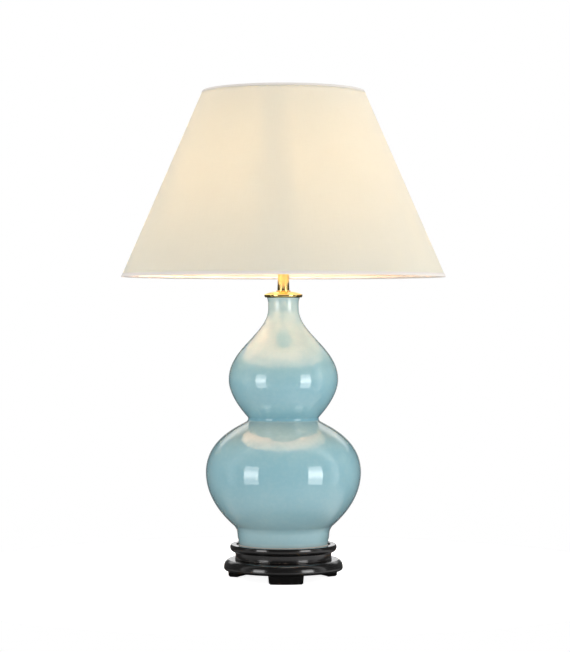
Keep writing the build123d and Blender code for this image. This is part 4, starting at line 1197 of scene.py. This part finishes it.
class LAMP_OT_bulb(bpy.types.Operator):
    """Blow the opal bulb and thread its cap"""

    bl_idname = "lamp.bulb"
    bl_label = "Bulb"

    def execute(self, context):
        bulb_r, neck_z, top = reach("bulb_glass")
        neck_r, wall, neck_pull, belly_pull = 13.4 * MM, 0.8 * MM, 18 * MM, 28 * MM
        centre = top - bulb_r

        def side(inset):
            """The glass's side from its neck to its crown, set in by an amount."""
            r, n = bulb_r - inset, neck_r - inset
            return joined(
                curve((n, neck_z), (n, neck_z + neck_pull), (r, centre - belly_pull), (r, centre)),
                arc((0.0, centre), r, 0, 90, 24),
            )

        outline = joined(side(0.0)[:-1], [(0.0, top), (0.0, top - wall)], side(wall)[::-1][1:])
        glass = turned("bulb_envelope", outline, [FINISHES["bulb_glass"]], 96)
        finished(glass, "bulb", "bulb_glass", "bulb_glass")

        cap_outer, low, high = reach("bulb_cap")
        depth, pitch = 0.8 * MM, 3.6 * MM
        rows = 56
        outside = [(cap_outer - depth, low + (high - low) * row / rows) for row in range(rows + 1)]
        inside = [(radius - 0.5 * MM, z) for radius, z in reversed(outside)]

        def thread(angle, radius, height):
            fade = min(1.0, (height - low) / (2 * MM), (high - height) / (2 * MM))
            return depth * max(0.0, fade) * (0.5 + 0.5 * math.sin(TURN * height / pitch - angle))

        cap = turned("bulb_threaded_cap", joined(outside, inside), [FINISHES["nickel"]], 72, ripple=thread)
        finished(cap, "bulb", "bulb_metal", "bulb_cap")
        dress(FINISHES["phenolic"], "bulb_insulator")
        dress(FINISHES["nickel"], "bulb_tip")
        dress(FINISHES["filament"], "bulb_filament")
        dress(FINISHES["pale_plastic"], "bulb_stem")
        return {"FINISHED"}


# ---------------------------------------------------------------- carrier and fitter


class LAMP_OT_carrier(bpy.types.Operator):
    """Bend the carrier's arms and turn the ring that the shade sits on"""

    bl_idname = "lamp.carrier"
    bl_label = "Shade carrier"

    def execute(self, context):
        s = context.scene.lamp_wires
        brass = FINISHES["brass"]
        low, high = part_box("carrier_arms")
        path = [
            (s.foot_r, low.z), (s.foot_r, low.z + s.knee), (s.arm_r, low.z + s.knee + s.spread), (s.arm_r, high.z),
        ]
        arms = grown(
            "carrier_wire_arms", bent_wires_tree(), path_mesh("carrier_path", path), Wire_Radius=s.wire_r,
            Bend_Radius=s.arm_bend, First_Angle=front_angle(s.carrier_turn), Count=s.arms, Material=brass,
        )
        finished(arms, "carrier", "brass", "carrier_arms")
        ring_r, under, top = reach("carrier_top_ring")
        bore, lip_sheet = 43.5 * MM, 1.2 * MM
        seat = under + 1.5 * MM
        outline = [
            (bore, under), (ring_r, under), (ring_r, seat),
            (bore + lip_sheet, seat), (bore + lip_sheet, top), (bore, top),
        ]
        ring = turned("carrier_seat_ring", softened(outline, 0.35 * MM), [brass], SMALL_STEPS)
        finished(ring, "carrier", "brass", "carrier_top_ring")
        return {"FINISHED"}


def shade_radius(s, height):
    """Outer radius of the shade's fabric at a height."""
    return s.top_r + (shade_top - height) * (s.bottom_r - s.top_r) / (shade_top - shade_base)


def slant(s):
    """Horizontal depth of a layer over its thickness, because the shade's side slopes."""
    return math.hypot(1.0, (s.bottom_r - s.top_r) / (shade_top - shade_base))


def wire_centre(s, height):
    """Where a ring's wire lies when it touches the lining at a height."""
    return (shade_radius(s, height) - (s.fabric + s.lining + s.wire_r) * slant(s), height)


class LAMP_OT_shade_frame(bpy.types.Operator):
    """Bend the fitter's arms and turn its ring and the shade's two wire rings"""

    bl_idname = "lamp.shade_frame"
    bl_label = "Shade frame"

    def execute(self, context):
        s, w = context.scene.lamp_shade, context.scene.lamp_wires
        paint = FINISHES["white_metal"]
        ring_r, under, top = reach("fitter_ring")
        bore = 45 * MM
        flat_ring = [(bore, under), (ring_r, under), (ring_r, top), (bore, top)]
        seat = turned("fitter_seat_ring", softened(flat_ring, 0.35 * MM), [paint], SMALL_STEPS)
        finished(seat, "shade", "white_metal", "fitter_ring")
        top_wire = wire_centre(s, shade_top - s.wire_r - s.wire_inset)
        level = top + w.wire_r
        path = [(bore + w.wire_r, level), (bore + w.fitter_flat, level), (top_wire[0] - s.wire_r, top_wire[1])]
        arms = grown(
            "fitter_wire_arms", bent_wires_tree(), path_mesh("fitter_path", path), Wire_Radius=w.wire_r,
            Bend_Radius=w.fitter_bend, First_Angle=front_angle(0.0), Count=w.arms, Material=paint,
        )
        finished(arms, "shade", "white_metal", "fitter_arms")
        for name, centre in (
            ("shade_top_wire", top_wire),
            ("shade_bottom_wire", wire_centre(s, shade_base + s.wire_r + s.wire_inset)),
        ):
            section = arc(centre, s.wire_r, 0, 360, 16)
            ring = turned(name.replace("wire", "wire_ring"), joined(section), [paint])
            finished(ring, "shade", "white_metal", name)
        return {"FINISHED"}


def skin(name, s, depth, thickness, material, outside_shows):
    """One layer of the shade: an open cone of cloth at a depth from the shade's outer face.

    The face that shows has the cloth's own material, and the hidden one cloth_back.
    """
    factor = slant(s)
    piece = grown(
        name, cone_skin_tree(), bpy.data.meshes.new(name),
        Lower_Radius=s.bottom_r - depth * factor, Upper_Radius=s.top_r - depth * factor,
        Lower_Height=shade_base, Upper_Height=shade_top, Bulge=0.3 * MM, Material=material,
    )
    slots, back = piece.data.materials, FINISHES["cloth_back"]
    slots.append(back)
    if not outside_shows:
        # the grid leaves slot 0 empty and its faces use slot 1, so both slots are filled anew
        slots[0], slots[1] = material, back
    wall = piece.modifiers.new("thickness", "SOLIDIFY")
    wall.thickness = thickness
    wall.offset = -1.0
    wall.material_offset = 1 if outside_shows else -1
    wall.material_offset_rim = 0 if outside_shows else -1
    return piece


def edge_band(s, height, tall, side):
    """Outline of a folded tape over an edge: outside, over the edge and a little way inside."""
    lip = s.trim
    inside = s.fabric + s.lining
    factor = slant(s)

    def at(depth, z):
        return (shade_radius(s, z) - depth * factor, z)

    far, fold = height + side * tall, height - side * lip
    tuck = height + side * tall * 0.6
    return [
        at(-lip, far), at(-lip, height), at(-lip * 0.4, fold), at(inside * 0.5, fold),
        at(inside + lip * 0.4, fold),
        at(inside + lip, height), at(inside + lip, tuck), at(inside, tuck), at(inside, height),
        at(0.0, height), at(0.0, far),
    ]


class LAMP_OT_shade_cover(bpy.types.Operator):
    """Wrap the shade's fabric, lining, seam tape and edge trims"""

    bl_idname = "lamp.shade_cover"
    bl_label = "Shade cover"

    def execute(self, context):
        s = context.scene.lamp_shade
        fabric = skin("shade_outer_cloth", s, 0.0, s.fabric, FINISHES["shade_cloth"], True)
        finished(fabric, "shade", "shade_cloth", "shade_fabric")
        behind = s.fabric + 0.02 * MM
        lining = skin("shade_inner_lining", s, behind, s.lining, FINISHES["shade_lining"], False)
        finished(lining, "shade", "shade_lining", "shade_lining")
        trim = FINISHES["shade_trim"]
        for name, height, tall, side in (
            ("top_trim", shade_top, s.top_trim, -1),
            ("bottom_trim", shade_base, s.bottom_trim, 1),
        ):
            outline = softened(edge_band(s, height, tall, side), 0.15 * MM, 40)
            band = turned(name.replace("trim", "edge_tape"), outline, [trim], 2 * ROUND_STEPS)
            finished(band, "shade", "shade_trim", name)
        finished(self.seam(s), "shade", "shade_cloth", "shade_seam")
        return {"FINISHED"}

    def seam(self, s):
        """Tape over the overlap of the fabric, down the back."""
        rows, columns = 40, 8
        low, high = shade_base + s.bottom_trim, shade_top - s.top_trim
        vertices, faces = [], []
        for row in range(rows + 1):
            z = low + (high - low) * row / rows
            for column in range(columns + 1):
                share = column / columns
                radius = shade_radius(s, z) + slant(s) * s.trim * min(1.0, 4 * share, 4 * (1 - share))
                x = (0.5 - share) * s.seam_width
                vertices.append((x, math.sqrt(radius * radius - x * x), z))
        for row in range(rows):
            for column in range(columns):
                first = row * (columns + 1) + column
                faces.append((first, first + 1, first + columns + 2, first + columns + 1))
        mesh = bpy.data.meshes.new("seam_tape")
        mesh.from_pydata(vertices, [], faces)
        layer = mesh.uv_layers.new(name="UVMap")
        for loop in mesh.loops:
            x, _, z = vertices[loop.vertex_index]
            layer.data[loop.index].uv = (x, z)
        mesh.materials.append(FINISHES["shade_cloth"])
        tape = smooth(new_object("seam_tape", mesh))
        wall = tape.modifiers.new("thickness", "SOLIDIFY")
        wall.thickness = 0.2 * MM
        wall.offset = -1.0
        return tape


# -------------------------------------------------------------------------- the stage

HORIZON_ROW = 311.5      # row of the photograph at the camera's height
AXIS_COLUMN = 283.4      # column of the lamp's axis
FRAME_WIDTH, FRAME_HEIGHT = 570, 652
FOCAL_PIXELS = 2152.0
CAMERA_DISTANCE = 3.380
CAMERA_HEIGHT = 0.419
SENSOR = 36.0

FLOOR_R = 0.60
FLOOR_STEPS = 96         # sides of the floor's disc
AMBIENT = 0.50           # plain level of the world's light on the lamp
GROUND = 0.55            # level of the ground in front of the lamp, as reflections see it

SOFTBOX_ANGLE = 47.5     # degrees to each side of the front
SOFTBOX_DISTANCE, SOFTBOX_HEIGHT, SOFTBOX_AIM = 2.5, 0.11, 0.25
SOFTBOX_WIDE, SOFTBOX_TALL = 1.0, 1.85
SOFTBOX_LEFT_WATTS, SOFTBOX_RIGHT_WATTS = 14.0, 17.0
TOP_LIGHT_PLACE, TOP_LIGHT_AIM, TOP_LIGHT_SIDE, TOP_LIGHT_WATTS = (0.2, -0.9, 2.7), 0.6, 1.0, 5.0
BULB_LIGHT_PLACE, BULB_LIGHT_R, BULB_LIGHT_WATTS = (-16 * MM, -8 * MM, 0.572), 6 * MM, 4.3


def area_light(name, place, target, size, tall, energy, banded=False):
    """A soft light; a banded one is brighter along its middle."""
    data = bpy.data.lights.new(name, "AREA")
    data.shape = "RECTANGLE"
    data.size, data.size_y = size, tall
    data.energy = energy
    if banded:
        data.use_nodes = True
        g = Graph(data.node_tree, "ShaderNode")
        spot = g.add("SeparateXYZ", {0: g.add("NewGeometry").outputs["Parametric"]})
        band = g.maths("ABSOLUTE", g.maths("SUBTRACT", spot.outputs[1], 0.57))
        emission = data.node_tree.nodes["Emission"]
        g.feed(emission.inputs["Strength"], g.spread(band, 0.0, 0.30, 1.7, 0.75))
    lamp = bpy.data.objects.new(name, data)
    bpy.context.scene.collection.objects.link(lamp)
    lamp.location = place
    lamp.rotation_mode = "QUATERNION"
    lamp.rotation_quaternion = (Vector(target) - Vector(place)).to_track_quat("-Z", "Y")
    return lamp


def studio_world():
    """White to the camera, a made-up studio to reflections and glass, and light for the rest.

    Reflections and glass don't see the camera's white. They see a mostly dark room by direction:
    pale sides and ground ahead of the lamp, a bright zone above and behind it, and a bright
    backdrop. What the world casts on the lamp is a plain level with more from each side.
    """
    world = bpy.data.worlds.new("studio")
    bpy.context.scene.world = world
    world.use_nodes = True
    world.node_tree.nodes.clear()
    g = Graph(world.node_tree, "ShaderNode")
    path = g.add("LightPath").outputs
    way = g.add("TexCoord").outputs["Generated"]
    apart = g.add("SeparateXYZ", {0: way})
    across, depth, upward = apart.outputs

    def product(first, second):
        return g.maths("MULTIPLY", first, second)

    sides = product(g.spread(depth, -0.40, -0.03, 0.05, 0.78), g.spread(across, -0.4, 0.3, 0.6, 1.0))
    ground = product(g.spread(upward, 0.0, -0.55, 0.0, GROUND), g.spread(across, -0.7, 0.4, 0.4, 1.0))
    cut = g.spread(depth, -0.01, 0.02, 1.0, 0.0)
    ahead = product(g.maths("MAXIMUM", sides, ground), cut)
    above = product(g.spread(upward, 0.24, 0.42, 0.0, 0.95), g.spread(depth, 0.60, 0.80))
    backdrop = g.spread(depth, 0.96, 0.995, 0.07, 0.9)
    mirror = g.maths("MAXIMUM", ahead, g.maths("MAXIMUM", above, backdrop))
    from_right = g.spread(across, 0.1, 1.0, 0.0, 1.05)
    from_left = g.spread(across, -0.1, -1.0, 0.0, 0.72)
    room = g.maths("ADD", g.maths("ADD", from_left, from_right), AMBIENT)
    mirrored = g.maths("MAXIMUM", path["Is Glossy Ray"], path["Is Transmission Ray"])
    level = g.maths("ADD", product(mirrored, g.maths("SUBTRACT", mirror, room)), room)
    level = g.maths("MAXIMUM", level, path["Is Camera Ray"])
    back = g.add("Background", {"Color": (1.0, 1.0, 1.0, 1.0), "Strength": level})
    out = g.add("OutputWorld")
    g.tree.links.new(back.outputs[0], out.inputs[0])


def floor_finish():
    """Pale floor that fades to white away from the lamp and keeps the lamp's shadow.

    Reflections and glass see the studio's dim ground on it instead, in front of the lamp only.
    """
    f = Finish("pale_floor")
    path = f.add("LightPath").outputs
    mirrored = f.maths("MAXIMUM", path["Is Glossy Ray"], path["Is Transmission Ray"])
    seen = f.maths("MAXIMUM", path["Is Camera Ray"], mirrored)
    white = f.spread(f.axis_distance(), 0.10, 0.35, 0.92, 1.0)
    fading = f.spread(f.axis_distance(), 0.19, FLOOR_R, GROUND, 0.4 * GROUND)
    ground = f.maths("MULTIPLY", fading, f.spread(f.x, -0.35, 0.25, 0.4, 1.0))
    ground = f.maths("MULTIPLY", ground, f.spread(f.axis_distance(), 0.11, 0.19))
    ground = f.maths("MULTIPLY", ground, f.spread(f.y, 0.0, 0.1, 1.0, 0.0))
    lift = f.maths("SUBTRACT", white, ground)
    level = f.maths("ADD", ground, f.maths("MULTIPLY", path["Is Camera Ray"], lift))
    pale = f.blend(f.noise(3.0), display(216, 216, 216), display(222, 222, 222))
    colour = f.blend(path["Is Glossy Ray"], pale, display(62, 62, 62))
    shader = f.add(
        "BsdfPrincipled",
        {"Base Color": colour, "Roughness": 0.75, "Specular IOR Level": 0.1,
         "Emission Color": (1.0, 1.0, 1.0, 1.0), "Emission Strength": f.maths("MULTIPLY", seen, level)},
    )
    f.tree.links.new(shader.outputs[0], f.output.inputs["Surface"])
    return f.material


class LAMP_OT_stage(bpy.types.Operator):
    """Set the camera, the softboxes, the bulb's light, the floor and the world"""

    bl_idname = "lamp.stage"
    bl_label = "Stage"

    def execute(self, context):
        scene = context.scene
        scene.view_settings.view_transform = "Standard"
        camera = bpy.data.cameras.new("camera")
        camera.sensor_width = SENSOR
        camera.lens = FOCAL_PIXELS * SENSOR / FRAME_HEIGHT
        eye = bpy.data.objects.new("camera", camera)
        scene.collection.objects.link(eye)
        aside = (FRAME_WIDTH / 2 - AXIS_COLUMN) * CAMERA_DISTANCE / FOCAL_PIXELS
        eye.location = (aside, -CAMERA_DISTANCE, CAMERA_HEIGHT)
        dip = math.atan((FRAME_HEIGHT / 2 - HORIZON_ROW) / FOCAL_PIXELS)
        eye.rotation_euler = (math.pi / 2 - dip, 0.0, 0.0)
        scene.camera = eye

        for name, side, watts in (
            ("softbox_left", -1, SOFTBOX_LEFT_WATTS),
            ("softbox_right", 1, SOFTBOX_RIGHT_WATTS),
        ):
            angle = side * math.radians(SOFTBOX_ANGLE)
            place = (SOFTBOX_DISTANCE * math.sin(angle), -SOFTBOX_DISTANCE * math.cos(angle), SOFTBOX_HEIGHT)
            area_light(name, place, (0.0, 0.0, SOFTBOX_AIM), SOFTBOX_WIDE, SOFTBOX_TALL, watts, banded=True)
        area_light(
            "top_light", TOP_LIGHT_PLACE, (0.0, 0.0, TOP_LIGHT_AIM),
            TOP_LIGHT_SIDE, TOP_LIGHT_SIDE, TOP_LIGHT_WATTS,
        )

        glow = bpy.data.lights.new("bulb_light", "POINT")
        glow.energy = BULB_LIGHT_WATTS
        glow.color = tuple(scene.lamp_colours.glow)
        glow.shadow_soft_size = BULB_LIGHT_R
        lit = bpy.data.objects.new("bulb_light", glow)
        scene.collection.objects.link(lit)
        lit.location = BULB_LIGHT_PLACE

        studio_world()
        mesh = bpy.data.meshes.new("floor")
        angles = [TURN * step / FLOOR_STEPS for step in range(FLOOR_STEPS)]
        rim = [(FLOOR_R * math.cos(angle), FLOOR_R * math.sin(angle), 0.0) for angle in angles]
        mesh.from_pydata(rim, [], [tuple(range(FLOOR_STEPS))])
        mesh.materials.append(floor_finish())
        new_object("floor", mesh)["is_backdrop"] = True
        return {"FINISHED"}


# ------------------------------------------------------------------- panel and main

OPERATORS = (
    LAMP_OT_stage,
    LAMP_OT_vase,
    LAMP_OT_stand,
    LAMP_OT_stand_fixings,
    LAMP_OT_neck_brass,
    LAMP_OT_lampholder,
    LAMP_OT_bulb,
    LAMP_OT_carrier,
    LAMP_OT_shade_frame,
    LAMP_OT_shade_cover,
)
SETTINGS = {
    "lamp_vase": VaseSizes,
    "lamp_stand": StandSizes,
    "lamp_shade": ShadeSizes,
    "lamp_wires": WireSizes,
    "lamp_colours": LampColours,
}


class LAMP_PT_panel(bpy.types.Panel):
    """Lists the lamp's pieces and their sizes"""

    bl_label = "Gourd lamp"
    bl_idname = "LAMP_PT_panel"
    bl_space_type = "VIEW_3D"
    bl_region_type = "UI"
    bl_category = "Gourd lamp"

    def draw(self, context):
        for operator in OPERATORS:
            self.layout.operator(operator.bl_idname)
        for setting, group in SETTINGS.items():
            box = self.layout.box()
            for name in group.__annotations__:
                box.prop(getattr(context.scene, setting), name)


def register():
    for group in SETTINGS.values():
        bpy.utils.register_class(group)
    for setting, group in SETTINGS.items():
        setattr(bpy.types.Scene, setting, bpy.props.PointerProperty(type=group))
    for operator in OPERATORS:
        bpy.utils.register_class(operator)
    bpy.utils.register_class(LAMP_PT_panel)


def unregister():
    bpy.utils.unregister_class(LAMP_PT_panel)
    for operator in reversed(OPERATORS):
        bpy.utils.unregister_class(operator)
    for setting in SETTINGS:
        delattr(bpy.types.Scene, setting)
    for group in reversed(SETTINGS.values()):
        bpy.utils.unregister_class(group)


def main():
    register()
    make_finishes(bpy.context.scene)
    for operator in OPERATORS:
        family, name = operator.bl_idname.split(".")
        getattr(getattr(bpy.ops, family), name)()
    measured = {"cad": CAD_BOX, "visual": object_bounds()}
    boxes = {name: [list(corner) for corner in box] for name, box in measured.items()}


if __name__ == "__main__":
    main()
